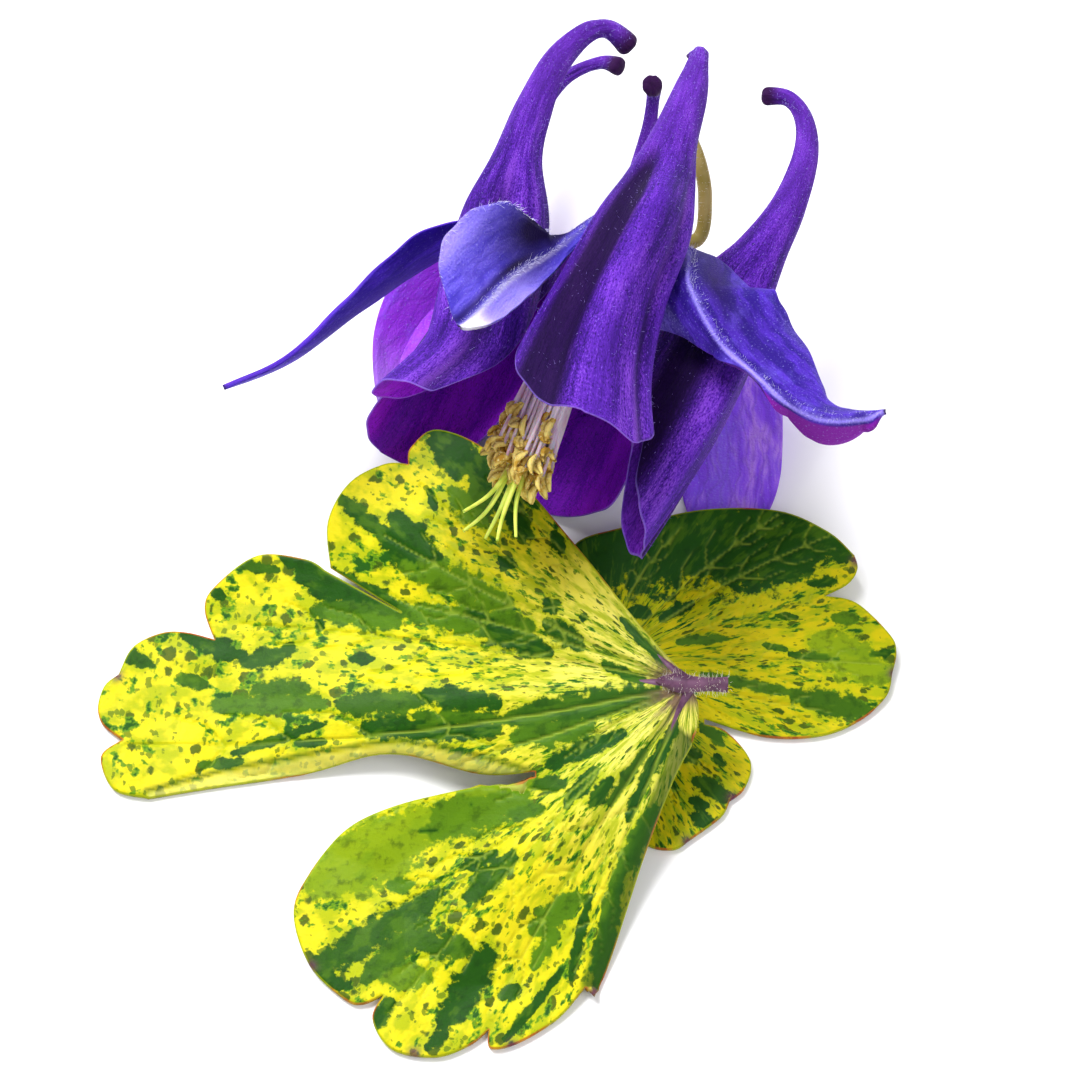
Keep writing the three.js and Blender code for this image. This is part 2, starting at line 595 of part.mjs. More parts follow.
for (const [name, petal] of Object.entries(PETALS)) {
  const mesh = piece(name, petalBody(petal), PETAL_VIOLET, 0.6);
  mesh.rotation.z = petal.angle * DEGREE;
  flower.add(mesh);
}
for (const [name, sepal] of Object.entries(SEPALS)) {
  const mesh = piece(name, sepalBody(sepal), SEPAL_BLUE, 0.6);
  mesh.rotation.z = sepal.angle * DEGREE;
  flower.add(mesh);
}
flower.add(piece('stalk', stalkBody(), STALK_BROWN, 0.7));

const column = new THREE.Group();
column.rotation.x = -COLUMN_TILT * DEGREE;
column.add(piece('stamens', stamensBody(), ANTHER_OCHRE, 0.8));
column.add(piece('pistil', geometryOf(joined(carpels(0))), STYLE_GREEN, 0.5));
flower.add(column);

const group = new THREE.Group();
const arrangement = new THREE.Group();
arrangement.position.set(-MIDDLE[0], -MIDDLE[1], 0);
arrangement.add(flower);
for (const [name, leaf] of Object.entries(LEAFLETS)) {
  const colour = name === 'leaflet_front' ? LEAF_YELLOW : LEAF_GREEN;
  const mesh = piece(name, leafBody(leaf), colour, 0.5);
  mesh.position.set(...leaf.place, 0);
  arrangement.add(mesh);
}
group.add(arrangement);

export default group;
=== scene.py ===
"""A picked columbine flower lying on its side over two variegated leaflets.

Thin petals and sepals, stamens, hairs and veined leaf blades are worked out as surfaces in
millimetres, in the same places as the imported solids, and get the finishes of living tissue.
"""

import bpy
import numpy as np
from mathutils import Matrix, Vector
from mathutils.geometry import delaunay_2d_cdt


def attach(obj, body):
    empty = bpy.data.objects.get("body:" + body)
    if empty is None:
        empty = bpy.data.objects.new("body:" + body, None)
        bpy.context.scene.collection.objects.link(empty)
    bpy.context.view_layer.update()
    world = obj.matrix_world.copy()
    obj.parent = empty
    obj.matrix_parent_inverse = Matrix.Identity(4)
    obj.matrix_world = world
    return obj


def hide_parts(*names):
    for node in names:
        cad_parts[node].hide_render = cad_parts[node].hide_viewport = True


bl_info = {
    "name": "Columbine flower and leaflets",
    "version": (1, 0, 0),
    "blender": (4, 5, 0),
    "location": "3D View > Sidebar > Columbine",
    "description": "Builds a columbine flower with two variegated leaflets on a pale table",
    "category": "Object",
}

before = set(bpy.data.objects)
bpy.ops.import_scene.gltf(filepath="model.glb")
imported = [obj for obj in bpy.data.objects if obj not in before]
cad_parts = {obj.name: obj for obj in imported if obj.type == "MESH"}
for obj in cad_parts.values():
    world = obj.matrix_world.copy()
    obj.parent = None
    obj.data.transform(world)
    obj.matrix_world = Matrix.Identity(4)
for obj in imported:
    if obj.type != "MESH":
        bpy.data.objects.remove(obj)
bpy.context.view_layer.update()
BODY = "root"
MM = 0.001

# ---- places and sizes, in millimetres ----

MIDDLE = np.array([-2.8, -1.7, 0.0])       # of the whole group, which the frame has at its origin
FLOWER_PLACE = np.array([5.3, 15.5, 11.5]) - MIDDLE
FLOWER_AXIS = np.array([0.315, 0.9455, -0.07])

# One petal from its spur's knob to the end of its blade: out from the axis, height along it,
# half depth, half width.
PETAL_PROFILE = np.array([
    [5.2, 14.7, 0.85, 0.85], [6.9, 15.0, 0.68, 0.68], [8.3, 13.6, 0.8, 0.8],
    [9.1, 10.8, 1.15, 1.15], [9.2, 7.0, 1.5, 1.5], [8.7, 2.8, 2.2, 2.1],
    [7.9, -1.5, 3.8, 2.9], [8.3, -6.5, 4.2, 4.2], [9.2, -12.0, 4.0, 5.1],
    [10.0, -17.3, 3.4, 5.7]])
PETAL_END = len(PETAL_PROFILE) - 1
# In rows of the profile: the spur's mouth, the knob's length, the end of the spur's finer rows,
# the rim's lowest place, the start of the hollow, and how long a fold takes to grow.
MOUTH, KNOB, SPUR_END, INNER_LIP, HOLLOW_FROM, FOLD_ROWS = 6, 0.35, 4.1, 6.2, 4.3, 2
RIM_SWEEP = 0.5             # power of the rim's fall from the outer to the inner side
PETAL_COLUMNS = 144         # points round a petal

# angle round the axis, turn of the blade, stretch of blade and spur; for each row of the profile
# the move outwards, the move sideways and the size; folds: direction round the funnel in degrees
# (0 is the outer side), width, height and first row, and their heights also set painted shade in
# the valleys and a painted highlight on the ridges; lips: direction, width and how many rows
# longer the rim is there; glow: how much redder the inner face is, partly its own colour and
# partly a painted glow of light shining through the petal.
PETALS = {
    "petal_front": dict(
        glow=1, angle=12, turn=0, blade=1.03, spur=0.87,
        out=[0, -1.25, -2.2, -2.5, -2.2, -1.25, 0, 0, 0, 0],
        side=[-0.3, -0.2, -0.1, 0, 0, 0, -0.3, -0.75, -0.8, 0],
        size=[0.9, 0.9, 1, 1.05, 1.05, 1.05, 1, 0.78, 0.8, 0.95],
        folds=[(4, 18, 0.4, 4), (-42, 26, -0.85, 4), (60, 14, -0.35, 4), (84, 20, 0.55, 4)],
        lips=[(60, 45, 0.2), (0, 30, 0.1)]),
    "petal_right": dict(
        glow=0.25, angle=84, turn=0, blade=1.12, spur=0.97,
        out=[0, 0.1, 0.2, 0.3, 0.2, 0, -0.2, -1, -2.7, -4.5],
        side=[0, 0, 0, 0, 0, 0, 0, 0, 0, 0],
        size=[0.8, 0.8, 0.8, 0.76, 0.78, 0.8, 0.8, 0.8, 0.8, 0.8],
        folds=[(20, 22, -0.4, 5), (-30, 16, 0.3, 5), (130, 40, 0.6, 7), (-95, 36, -0.6, 5)],
        lips=[(110, 40, 0.6)]),
    "petal_rear": dict(
        glow=1, angle=205, turn=-34, blade=0.81, spur=1.05,
        out=[0, 0, 0, 0, 0, 0, 0, -0.3, -0.9, -1.5],
        side=[0.5, -0.4, -1.1, -1, -0.4, 0.1, 0.2, 0.6, 1.4, 2.1],
        size=[0.95, 0.75, 0.65, 0.65, 0.7, 0.8, 0.9, 0.9, 0.9, 0.9],
        folds=[(0, 25, 0.3, 5)], lips=[]),
    "petal_rear_left": dict(
        glow=1, angle=245, turn=-14, blade=0.88, spur=1,
        out=[-0.1, 0, 0.9, 1.5, 1.3, 0.9, 0.6, 0.8, 1.6, 2.7],
        side=[0, 0, 0, 0, 0, 0, 0, 0, 0, 0],
        size=[0.85, 0.65, 0.6, 0.62, 0.7, 0.8, 0.9, 0.85, 0.8, 0.78],
        folds=[(0, 18, 0.4, 5), (180, 30, -0.3, 5)], lips=[]),
    "petal_left": dict(
        glow=1, angle=300, turn=0, blade=1.02, spur=0.95,
        out=[-0.8, -0.4, -0.3, -0.1, 0.1, 0.5, 0.6, -0.5, -1.8, -0.3],
        side=[0, 0, 0, -0.3, -0.4, -0.3, 0, 0, 0, 0],
        size=[1, 0.9, 0.9, 0.85, 0.8, 0.75, 0.77, 0.75, 0.75, 0.85],
        folds=[(-5, 18, 0.3, 5), (56, 22, -0.32, 4.5)],
        lips=[(45, 45, 0.5)]),
}

# angle, twist, spine (out, side, along); for each side the half widths at even steps and the
# climb outwards in degrees beside the midrib, further out and at the margin, near root and tip.
SEPALS = {
    "sepal_left": dict(
        angle=268, twist=-20,
        spine=[[2.4, 0, -0.2], [7, 0, -0.7], [11.2, 0, -2.9], [14.8, 0, -8.2], [18, 0, -13.6],
               [21.6, 0, -17]],
        left=([0.3, 0.5, 2.5, 4.1, 3, 1.2, 0.3], [0, 6, 20], [0, 6, 20]),
        right=([0.3, 0.5, 2.5, 4, 2.6, 0.9, 0.3], [0, 6, 20], [0, 6, 20])),
    "sepal_front_left": dict(
        angle=336, twist=5,
        spine=[[2.4, 0, 0.9], [5.4, 0.8, -0.2], [7.9, -0.5, -4.7], [11.6, -0.2, -8.8],
               [13, -0.5, -11.8], [13.2, -1.4, -13.6]],
        left=([0.3, 0.3, 0.5, 4.2, 5, 3.8, 0.3], [90, 110, 110], [30, 50, 50]),
        right=([0.3, 0.3, 0.8, 1.6, 1.7, 1.2, 0.3], [-100, -95, -20], [-65, -65, -57])),
    "sepal_right": dict(
        angle=48, twist=37,
        spine=[[2.4, 0, 0.9], [6.9, -0.6, -0.5], [9.6, -1.6, -4.2], [12.3, 0.9, -7.7],
               [16.7, 5, -10.1], [20.3, 7.6, -8.8]],
        left=([0.3, 1.0, 4.3, 2.6, 0.4, 2.6, 0.3], [-20, -40, -55], [-120, -160, -160]),
        right=([0.3, 0.5, 4.8, 5.4, 4.9, 2.2, 0.3], [15, 15, 18], [15, 27, 18])),
    "sepal_rear_right": dict(
        angle=135, twist=-45,
        spine=[[2.4, 0, 0.9], [7, 0, 1.2], [11.4, 0, -1.5], [15.6, 0.3, -7.5],
               [16.4, 0.9, -13.2]],
        left=([0.3, 0.5, 2.6, 3.5, 3.3, 2.6, 0.3], [0, 3, 10], [0, 3, 10]),
        right=([0.3, 0.5, 3, 4.6, 4.4, 3.2, 0.3], [0, 3, 10], [0, 3, 10])),
    "sepal_rear_left": dict(
        angle=211, twist=0,
        spine=[[2.4, 0, 0.9], [6, -0.3, 2.2], [10, -0.2, 2.5], [13.4, 1.2, 1.6],
               [15.8, 4.3, -1.2], [16.8, 5.5, -5.5], [16.9, 5, -10.5]],
        left=([0.3, 0.5, 2.5, 4.5, 3.7, 2.2, 0.3], [0, 2, 5], [0, 2, 5]),
        right=([0.3, 0.5, 2.5, 4.5, 3.7, 2.2, 0.3], [0, 2, 5], [0, 2, 5])),
}
SEPAL_TIP, STEEP_FROM = 0.3, 1.5        # least half width; half width with the full climb
KEEL_EDGE = 0.3                         # end of the part beside the midrib, as a share of a side
SEPAL_ROWS, SEPAL_STRIPS = 150, 40      # rows of points, and strips to each side of the midrib

# Colours along and between the veins, first of a sepal's face that looks away from the flower,
# then of the face that looks at it. The two rear sepals' bright violet and magenta are partly their
# own colour and partly a painted glow of light shining through them.
SEPAL_COLOURS = {
    "sepal_left": ("#8348ec", "#4c20ba", "#5a34d8", "#3a1ca8"),
    "sepal_front_left": ("#4230a8", "#1f1470", "#6a5ad8", "#4a3cc0"),
    "sepal_right": ("#4a26b0", "#28107c", "#8c20b8", "#5a129c"),
    "sepal_rear_right": ("#cc9cff", "#9c60ff", "#c08aff", "#8c50f4"),
    "sepal_rear_left": ("#a83ae0", "#8628c4", "#aa46ea", "#8c30cc"),
}

# Leaflets in plan round the point where the blade meets its stalk: smooth curves of the margin
# from notch to notch; direction, height and span of the lie; swells along the main veins; veins
# from the middle (direction, length, bend in degrees); strokes of green: from, to, half width
# and tone, from 0.5 lime over 1 mid green to 2 dark green. Turned and folds are creases: beyond a
# turned one the margin bends down and shows its pale underside, beyond a fold it bends down and
# is painted darker green as shade, and the crease lines get painted shade too; tips are the small
# purple points of the margin.
LEAVES = {
    "leaflet_front": dict(
        place=[9.7, -12.5], height=7, first=60,
        tips=[(-24.5, -17), (-17.8, -22.8), (-11.5, -22.3), (-6.3, -18.9), (-37.6, 2.8)],
        turned=[[(-35.5, -5.1), (-30.5, -3.7), (-24, -2.7), (-19, -2.2), (-14.5, -3.2),
                 (-10.2, -4.6)]],
        folds=[[(-6.9, -18.4), (-5.9, -15.6), (-4, -10.3), (-2, -5.8), (-0.7, -2.6)]],
        margin=[
            [[0.2, -0.5], [-0.3, 0.6], [-3.2, 4.3], [-7.1, 9.7], [-12.3, 16.2], [-16.3, 18.5],
             [-18.2, 17.4], [-18.4, 16.2]],
            [[-20, 16.3], [-22.3, 15.2], [-23.7, 12.7], [-23.5, 9.7]],
            [[-18.8, 6.5]],
            [[-23.9, 9.6]],
            [[-25.2, 10.4], [-28.4, 10.8], [-31.2, 8.9], [-31.9, 7.4], [-31.2, 5.3]],
            [[-32.9, 5.8], [-34.7, 5.8], [-36.6, 4.8], [-37.5, 2.9]],
            [[-38.4, 2.1], [-38.8, 0.6], [-38.4, -0.6], [-37.1, -1.6]],
            [[-38.5, -2.8], [-37.6, -5], [-35.3, -5.6]],
            [[-31.3, -4.9], [-25.4, -4], [-19.5, -2.9], [-13.6, -4.4], [-10, -4.7]],
            [[-10, -5]],
            [[-14.8, -5.6], [-19.3, -6.5], [-22.5, -8], [-24.8, -10.9], [-25.7, -13.5],
             [-24.6, -16.9], [-22.4, -19.1], [-21.2, -19.5], [-19.8, -18.9]],
            [[-20.5, -20.5], [-19.2, -22.5], [-16.4, -23], [-14.2, -22.2], [-13, -21.2]],
            [[-12.9, -22.4], [-11.2, -22.1], [-8.6, -20.5], [-6.8, -18.5]],
            [[-6.2, -19.1]],
            [[-5, -15.9], [-3, -10], [-1, -5.2], [0.4, -2.7], [0.5, -1.2], [0.2, -0.5]],
        ],
        lie=[[126, 5, 26], [140, 4.2, 26], [165, 0.8, 32], [178, -0.5, 36], [190, 0, 36],
             [208, -0.5, 30], [235, -0.5, 28], [253, 0.6, 22]],
        ridges=[[148, 8, 0.8], [178, 8, 1], [226, 8, 1]],
        veins=[(131, 20, 2), (140, 23, -6), (150, 23, -4), (159, 20, 5), (168, 30, 6),
               (183, 37, -5), (192, 30, -5), (206, 9, 6), (214, 24, -9), (226, 28, 5),
               (237, 24, 3), (247, 19, 3)],
        strokes=[
            (-16.8, 18.5, -13.4, 15.9, 0.7, 2), (-16.6, 17.6, -15.1, 15.2, 0.5, 2),
            (-14.1, 14.8, -13.1, 12.7, 0.8, 1.7), (-15.4, 14.1, -13.4, 11.9, 0.7, 1),
            (-22.9, 14.3, -20.2, 11.8, 0.5, 2), (-19.2, 12.5, -16.6, 9.7, 0.8, 1.8),
            (-18.5, 9.7, -11.9, 6.3, 0.9, 1), (-18.1, 6.5, -10.4, 4.6, 0.8, 1.2),
            (-14.1, 6.0, -10.4, 4.1, 0.5, 1.9), (-24.2, 9.5, -19.2, 6.9, 0.7, 1.8),
            (-24.2, 7.0, -19.2, 5.9, 0.7, 1.2), (-12.1, 9.1, -11.5, 8.8, 0.5, 2),
            (-8.7, 10.9, -8.3, 9.7, 0.4, 2), (-10.9, 11.5, -10.8, 10.5, 0.5, 1.6),
            (-9.1, 6.1, -8.7, 5.5, 0.5, 1.8), (-8.5, 4.5, -7.5, 3.8, 0.5, 1.8),
            (-6.8, 5.0, -6.8, 4.8, 0.3, 1.8), (-17.0, 14.2, -16.6, 13.1, 0.3, 2),
            (-20.1, 11.8, -17.7, 9.2, 0.8, 1.9), (-26.5, 10.6, -23.4, 9.1, 0.6, 1.9),
            (-25.4, 9.5, -21.6, 7.7, 0.9, 1.9), (-24.4, 7.0, -18.7, 6.7, 0.8, 1.5),
            (-24.3, 6.1, -24.1, 6.0, 0.5, 2), (-31.4, 8.6, -30.7, 8.1, 0.4, 1.9),
            (-30.1, 10.4, -27.0, 9.8, 0.3, 1.6), (-33.1, 5.6, -29.3, 4.0, 0.6, 2),
            (-37.3, 4.5, -35.4, 3.6, 0.5, 1.7), (-29.0, 3.5, -26.1, 4.4, 0.6, 1.7),
            (-31.0, 0.8, -24.1, 0.5, 0.7, 1.3), (-33.3, 2.6, -32.0, 2.2, 0.5, 1.6),
            (-28.3, 1.7, -25.0, 1.5, 0.6, 1.5), (-22.5, 0.2, -17.6, 0.1, 0.8, 1.6),
            (-21.1, -1.4, -17.5, -1.6, 0.7, 1.9), (-29.8, -2.6, -23.7, -0.9, 0.3, 1.9),
            (-25.4, -2.2, -23.8, -2.1, 0.3, 1.8), (-32.0, -3.4, -29.2, -3.2, 0.3, 1.7),
            (-22.0, 3.4, -20.7, 3.4, 0.4, 2), (-14.5, 5.9, -9.4, 3.1, 0.8, 1.9),
            (-17.1, 0.6, -12.5, -0.4, 0.6, 1.9), (-9.2, 4.8, -7.0, 3.1, 0.5, 1.8),
            (-5.5, 1.9, -3.0, 0.4, 0.4, 1.7), (-11.5, -1.3, -2.3, -0.5, 0.8, 1.6),
            (-11.1, -2.5, -6.7, -2.2, 0.8, 1.3), (-9.1, -4.3, -4.3, -2.7, 0.5, 2),
            (-20.2, -1.6, -12.6, -2.0, 0.6, 1.9), (-17.9, -0.8, -11.8, -1.4, 0.4, 1.5),
            (-7.9, -7.2, -6.1, -5.0, 0.5, 2), (-5.2, -7.0, -3.0, -3.9, 0.3, 1.5),
            (-3.3, -6.4, -0.9, -2.3, 0.4, 1.8), (-4.0, -8.0, -3.4, -6.4, 0.3, 1.9),
            (-6.4, -7.2, -5.2, -5.8, 0.4, 1.8), (-4.3, 4.7, -1.4, 1.2, 0.3, 1.7),
            (-14.8, -5.5, -10.3, -5.3, 0.8, 0.8), (-11.7, -7.2, -9.6, -7.3, 0.5, 1.4),
            (-17.6, -8.1, -16.1, -8.0, 0.3, 1.8), (-14.3, -6.5, -14.2, -6.6, 0.3, 1.7),
            (-10.0, -5.5, -8.2, -5.7, 0.5, 1.6), (-24.3, -10.4, -17.2, -7.5, 1.5, 0.6),
            (-24.5, -17.4, -16.4, -12.4, 0.9, 1.7), (-20.9, -17.7, -17.2, -14.3, 0.8, 1.5),
            (-17.3, -15.5, -14.5, -16.0, 0.8, 1.6), (-19.5, -11.6, -18.0, -11.5, 0.5, 1.3),
            (-14.6, -10.7, -12.6, -9.9, 0.5, 1.8), (-14.2, -12.6, -11.5, -10.2, 0.7, 1.7),
            (-23.8, -11.2, -17.5, -8.0, 2.0, 0.7), (-17.5, -8, -11, -6.3, 1.3, 1),
            (-16.6, 17.9, -12.8, 14.9, 1.0, 2), (-13.4, 15.4, -11.4, 12.6, 1.2, 1.9),
            (-12, 13, -10.4, 10.8, 0.6, 1.9), (-15.7, -20.7, -13.1, -16.3, 0.9, 2),
            (-20.4, -21.1, -19.4, -19.3, 0.5, 2),
            (-24.2, -17.3, -22.1, -18.4, 0.5, 2), (-19.6, -17.7, -17.1, -17.7, 0.8, 0.9),
            (-16.9, -22.3, -15.8, -21.5, 0.4, 1.9), (-12.1, -19.0, -11.2, -18.5, 0.5, 1.7),
            (-10.1, -14.8, -7.4, -12.8, 0.8, 1.2), (-10.1, -17.0, -8.7, -15.0, 0.5, 1.2),
            (-12.0, -21.9, -8.3, -17.5, 0.3, 1.9), (-7.7, -17.9, -6.5, -12.7, 0.3, 1.8),
            (-6.0, -18.7, -4.9, -11.8, 0.5, 1.5), (-4.9, -11.8, -2.3, -7.3, 0.5, 1.4),
            (-3.0, -10.5, -0.9, -5.7, 0.4, 1.3)]),
    "leaflet_back": dict(
        place=[4.3, -9.6], height=2.6, first=-180, turned=[], folds=[],
        tips=[(16.6, 7.5), (19, 0), (8.3, -8.5), (5.3, -11.5)],
        margin=[
            [[0, -0.3], [0, 0.3], [-2.2, 3], [-2.6, 6.5], [-1.8, 8.6], [1.1, 9.6], [6.6, 10.9],
             [11.5, 10.9], [14.7, 9.5], [16.5, 7.9]],
            [[16.7, 7], [16.1, 6], [14.5, 5.1]],
            [[16.6, 4.7], [18.8, 2.6], [19.2, 1.4], [18.9, 0]],
            [[18.5, -1.5], [16.8, -3.1], [14.2, -4.2], [10.6, -4.3], [6.5, -3.2]],
            [[6.5, -3.5]],
            [[8, -4], [9.5, -6], [9.1, -7.8], [8.1, -8.7]],
            [[7.5, -9.8], [5.4, -11.4]],
            [[4.4, -12], [2.7, -11.7], [1.2, -10], [-0.5, -6], [0, -0.3]],
        ],
        lie=[[-80, -0.3, 13], [-30, -0.3, 14], [0, 0.4, 20], [30, 1.6, 20], [60, 2.2, 14],
             [104, 2.2, 10]],
        ridges=[[30, 12, 0.5], [0, 12, 0.6]],
        veins=[(62, 11, -18), (42, 17, -8), (31, 19, -8), (18, 17, -6), (2, 18, -3), (-10, 15, 3),
               (-45, 10, 6), (-60, 11, 4), (-75, 9, 4)],
        strokes=[
            (-1.0, 7.6, 6.0, 8.6, 2.8, 2), (5.0, 8.8, 12.5, 9.0, 3, 2),
            (6, 7.4, 12.8, 7.4, 2, 2),
            (12.0, 9.2, 15.2, 8.6, 1.5, 2), (15.0, 8.4, 16.0, 7.8, 0.7, 1.8),
            (13.5, 5.9, 15.2, 6.1, 0.3, 1.9), (3.7, 3.1, 5.7, 4.1, 0.4, 1.9),
            (1.7, 3.6, 2.7, 3.5, 0.5, 1.8), (4.8, 1.6, 8.0, 2.0, 0.3, 1.1),
            (6.3, -0.5, 12.5, -1.5, 0.3, 1.4), (12.5, -1.7, 17.2, -2.5, 0.7, 1.5),
            (12.2, 1.0, 15.3, 0.8, 0.3, 1.7), (10.4, 1.6, 11.9, 1.3, 0.2, 1.4),
            (17.5, 1.2, 18.7, 1.4, 0.3, 1.8), (11.3, 3.6, 12.6, 3.6, 0.2, 1.6),
            (15.1, 3.7, 16.4, 3.6, 0.4, 1), (14.2, 1.9, 18.0, 0.0, 1.3, 0.5),
            (6.3, -3.6, 7.7, -4.8, 0.4, 1.5), (5.3, -5.7, 5.9, -5.4, 0.6, 1.6),
            (7.2, -5.7, 7.8, -6.3, 0.3, 1.8), (6.0, -7.4, 7.7, -8.4, 0.6, 1.7),
            (5.6, -8.7, 6.6, -9.0, 0.4, 1.9), (5.8, -9.7, 6.9, -10.3, 0.5, 1.9)]),
}

BENT_MARGIN = 1.6           # how far from the margin and from its line a crease bends the blade

# Rows of a stem: its place (out, side, along, or in plan and height) and its radius; of the
# receptacle: radius and along; of the veins' roots on the leaf stalk: place in plan and radius.
STALK_PATH = np.array([
    [0, 0, 0.6, 0.9], [-0.4, 1.6, 2.2, 0.6], [-1.3, 4.2, 3.6, 0.48], [0.1, 3.9, 6, 0.47],
    [1.2, 2.75, 8, 0.47], [1.4, 1.4, 9.5, 0.47], [1, 0.2, 10, 0.47]])
RECEPTACLE = [[0.02, -0.4], [1.5, -0.4], [1.9, 0.1], [1.8, 0.9], [1, 1.7], [0.02, 1.9]]
LEAF_STALK = np.array([
    [-2.2, 0.35, 6.75, 0.1], [-1.5, 0.25, 7.0, 0.45], [-0.6, 0.1, 7.05, 0.66],
    [0.3, 0, 7.1, 0.52], [1.3, 0, 7.1, 0.46], [2.4, 0, 7, 0.52]])
LEAF_ROOTS = [[(0, 0.1, 0.4), (-1.6, 1.6, 0.3), (-3.6, 3.9, 0.05)],
              [(0, 0, 0.4), (-2.2, 0.3, 0.3), (-5.2, 0.7, 0.05)],
              [(0, -0.2, 0.4), (-0.9, -1.8, 0.26), (-1.6, -4.2, 0.05)]]

# The bundle of stamens and styles: tilt in degrees, radius, how far it bends sideways, start.
COLUMN_TILT, COLUMN_RADIUS, COLUMN_SWAY, COLUMN_START = 1.5, 1.75, 1.1, 0.75
FILAMENT_RINGS, ANTHER_RINGS, ANTHER_SIDES = 12, 13, 16
# each style's direction in degrees, and how far out and along its tip is
STYLES = [(20, 1.0, 22.2), (95, 1.5, 21.0), (190, 1.1, 21.6), (255, 1.8, 22.0), (285, 2.4, 21.2)]
HAIR_BLOTCHES = 2000        # soft changes of colour along hairs, for each metre

# ---- sums ----


def unit(vectors):
    """Each vector divided by its length."""
    return vectors / np.maximum(np.linalg.norm(vectors, axis=-1, keepdims=True), 1e-9)


AXIS = unit(FLOWER_AXIS)
UPPER = unit(np.array([0.0, 0.0, 1.0]) - AXIS * AXIS[2])
ACROSS = np.cross(AXIS, UPPER)


def smooth(x):
    """Slow start and slow end from 0 to 1: x * x * (3 - 2x)."""
    x = np.clip(x, 0, 1)
    return x * x * (3 - 2 * x)


def rise(x, start, span):
    """From 0 at the start smoothly up to 1 over the span; a span below 0 runs backwards."""
    return smooth((x - start) / span)


def hump(x, middle, width):
    """A rounded hump of height 1 at its middle."""
    return np.exp(-((x - middle) / width) ** 2)


def through(rows, steps):
    """Smooth curve through rows of numbers (Catmull-Rom); steps counts the rows."""
    rows = np.asarray(rows, float)
    rows = rows[:, None] if rows.ndim == 1 else rows
    last = len(rows) - 1
    i = np.clip(np.floor(steps).astype(int), 0, last - 1)
    t = (steps - i)[..., None]
    a, b, c, d = rows[np.maximum(i - 1, 0)], rows[i], rows[i + 1], rows[np.minimum(i + 2, last)]
    return b + t * 0.5 * (c - a + t * (2 * a - 5 * b + 4 * c - d + t * (3 * (b - c) + d - a)))


def evenly(rows, count):
    """The same smooth curve at a number of even steps from its first row to its last."""
    return through(rows, np.linspace(0, len(rows) - 1, count))


def turned_by(x, y, angle):
    """Two lengths square to each other, turned by an angle in radians."""
    return x * np.cos(angle) - y * np.sin(angle), x * np.sin(angle) + y * np.cos(angle)


def in_flower(points, angle):
    """Points as (out, side, along), turned round the flower's axis to their own place."""
    a = np.radians(angle)
    out = UPPER * np.cos(a) + ACROSS * np.sin(a)
    side = -UPPER * np.sin(a) + ACROSS * np.cos(a)
    return points @ np.stack([out, side, AXIS]) + FLOWER_PLACE


def grid_faces(rows, columns, around=False):
    """Four-sided faces of a grid of points; around joins the last column to the first."""
    index = np.arange(rows * columns).reshape(rows, columns)
    if around:
        index = np.concatenate([index, index[:, :1]], 1)
    corners = [index[:-1, :-1], index[1:, :-1], index[1:, 1:], index[:-1, 1:]]
    return np.stack(corners, -1).reshape(-1, 4)


def bumps(x, y, seed):
    """Soft random numbers from -1 to 1 that change over a distance of 1: grid values, smoothed."""
    size = 97
    values = np.random.default_rng(seed).uniform(-1, 1, (size, size))
    i, j = np.floor(x).astype(int), np.floor(y).astype(int)
    s, t = smooth(x - i), smooth(y - j)
    a, b, c, d = (values[(i + right) % size, (j + up) % size]
                  for up in (0, 1) for right in (0, 1))
    return (a * (1 - s) + b * s) * (1 - t) + (c * (1 - s) + d * s) * t


# ---- meshes ----


def make_piece(name, points, faces, material, slot, **facts):
    """A mesh object from points in millimetres and lists of faces, with numbers kept per point."""
    mesh = bpy.data.meshes.new(name)
    mesh.vertices.add(len(points))
    mesh.vertices.foreach_set("co", (points * MM).astype(np.float32).ravel())
    corners = np.concatenate([f.ravel() for f in faces])
    sizes = np.concatenate([np.full(len(f), f.shape[1]) for f in faces])
    mesh.loops.add(len(corners))
    mesh.loops.foreach_set("vertex_index", corners.astype(np.int32))
    mesh.polygons.add(len(sizes))
    mesh.polygons.foreach_set("loop_start", (np.cumsum(sizes) - sizes).astype(np.int32))
    mesh.polygons.foreach_set("use_smooth", np.ones(len(sizes), bool))
    mesh.update(calc_edges=True)
    if mesh.validate():
        raise RuntimeError(f"the mesh of {name} had faces that are not valid")
    for fact, values in facts.items():
        flat = values.ndim == 1
        layer = mesh.attributes.new(fact, "FLOAT" if flat else "FLOAT_VECTOR", "POINT")
        layer.data.foreach_set("value" if flat else "vector", values.astype(np.float32).ravel())
    mesh.materials.append(material)
    piece = bpy.data.objects.new(name, mesh)
    bpy.context.scene.collection.objects.link(piece)
    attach(piece, BODY)
    return piece


def outward(points, faces):
    """The faces, turned over together if the closed body they bound is inside out."""
    volume = 0.0
    for group in faces:
        for k in range(2, group.shape[1]):
            a, b, c = points[group[:, 0]], points[group[:, k - 1]], points[group[:, k]]
            volume += np.einsum("ij,ij->", a, np.cross(b, c))
    return faces if volume > 0 else [group[:, ::-1] for group in faces]


def joined(first, second):
    """Two bodies, each its points and faces, as one."""
    points, faces = first
    return (np.concatenate([points, second[0]]),
            faces + [group + len(points) for group in second[1]])


def grid_normals(grid):
    """Directions square to a surface of points in rows and columns."""
    return unit(np.cross(np.gradient(grid, axis=0), np.gradient(grid, axis=1)))


def shell(grid, thick):
    """Closed sheet: a grid moved half its thickness along its normals either way, and its rim."""
    offset = grid_normals(grid) * thick / 2
    points = np.concatenate([grid + offset, grid - offset]).reshape(-1, 3)
    rows, columns = grid.shape[:2]
    size = rows * columns
    index = np.arange(size).reshape(rows, columns)
    rim = np.concatenate([index[0, :-1], index[:-1, -1], index[-1, :0:-1], index[:0:-1, 0]])
    ahead = np.roll(rim, -1)
    quads = grid_faces(rows, columns)
    sides = np.stack([rim, ahead, ahead + size, rim + size], -1)
    return points, outward(points, [quads, quads[:, ::-1] + size, sides])


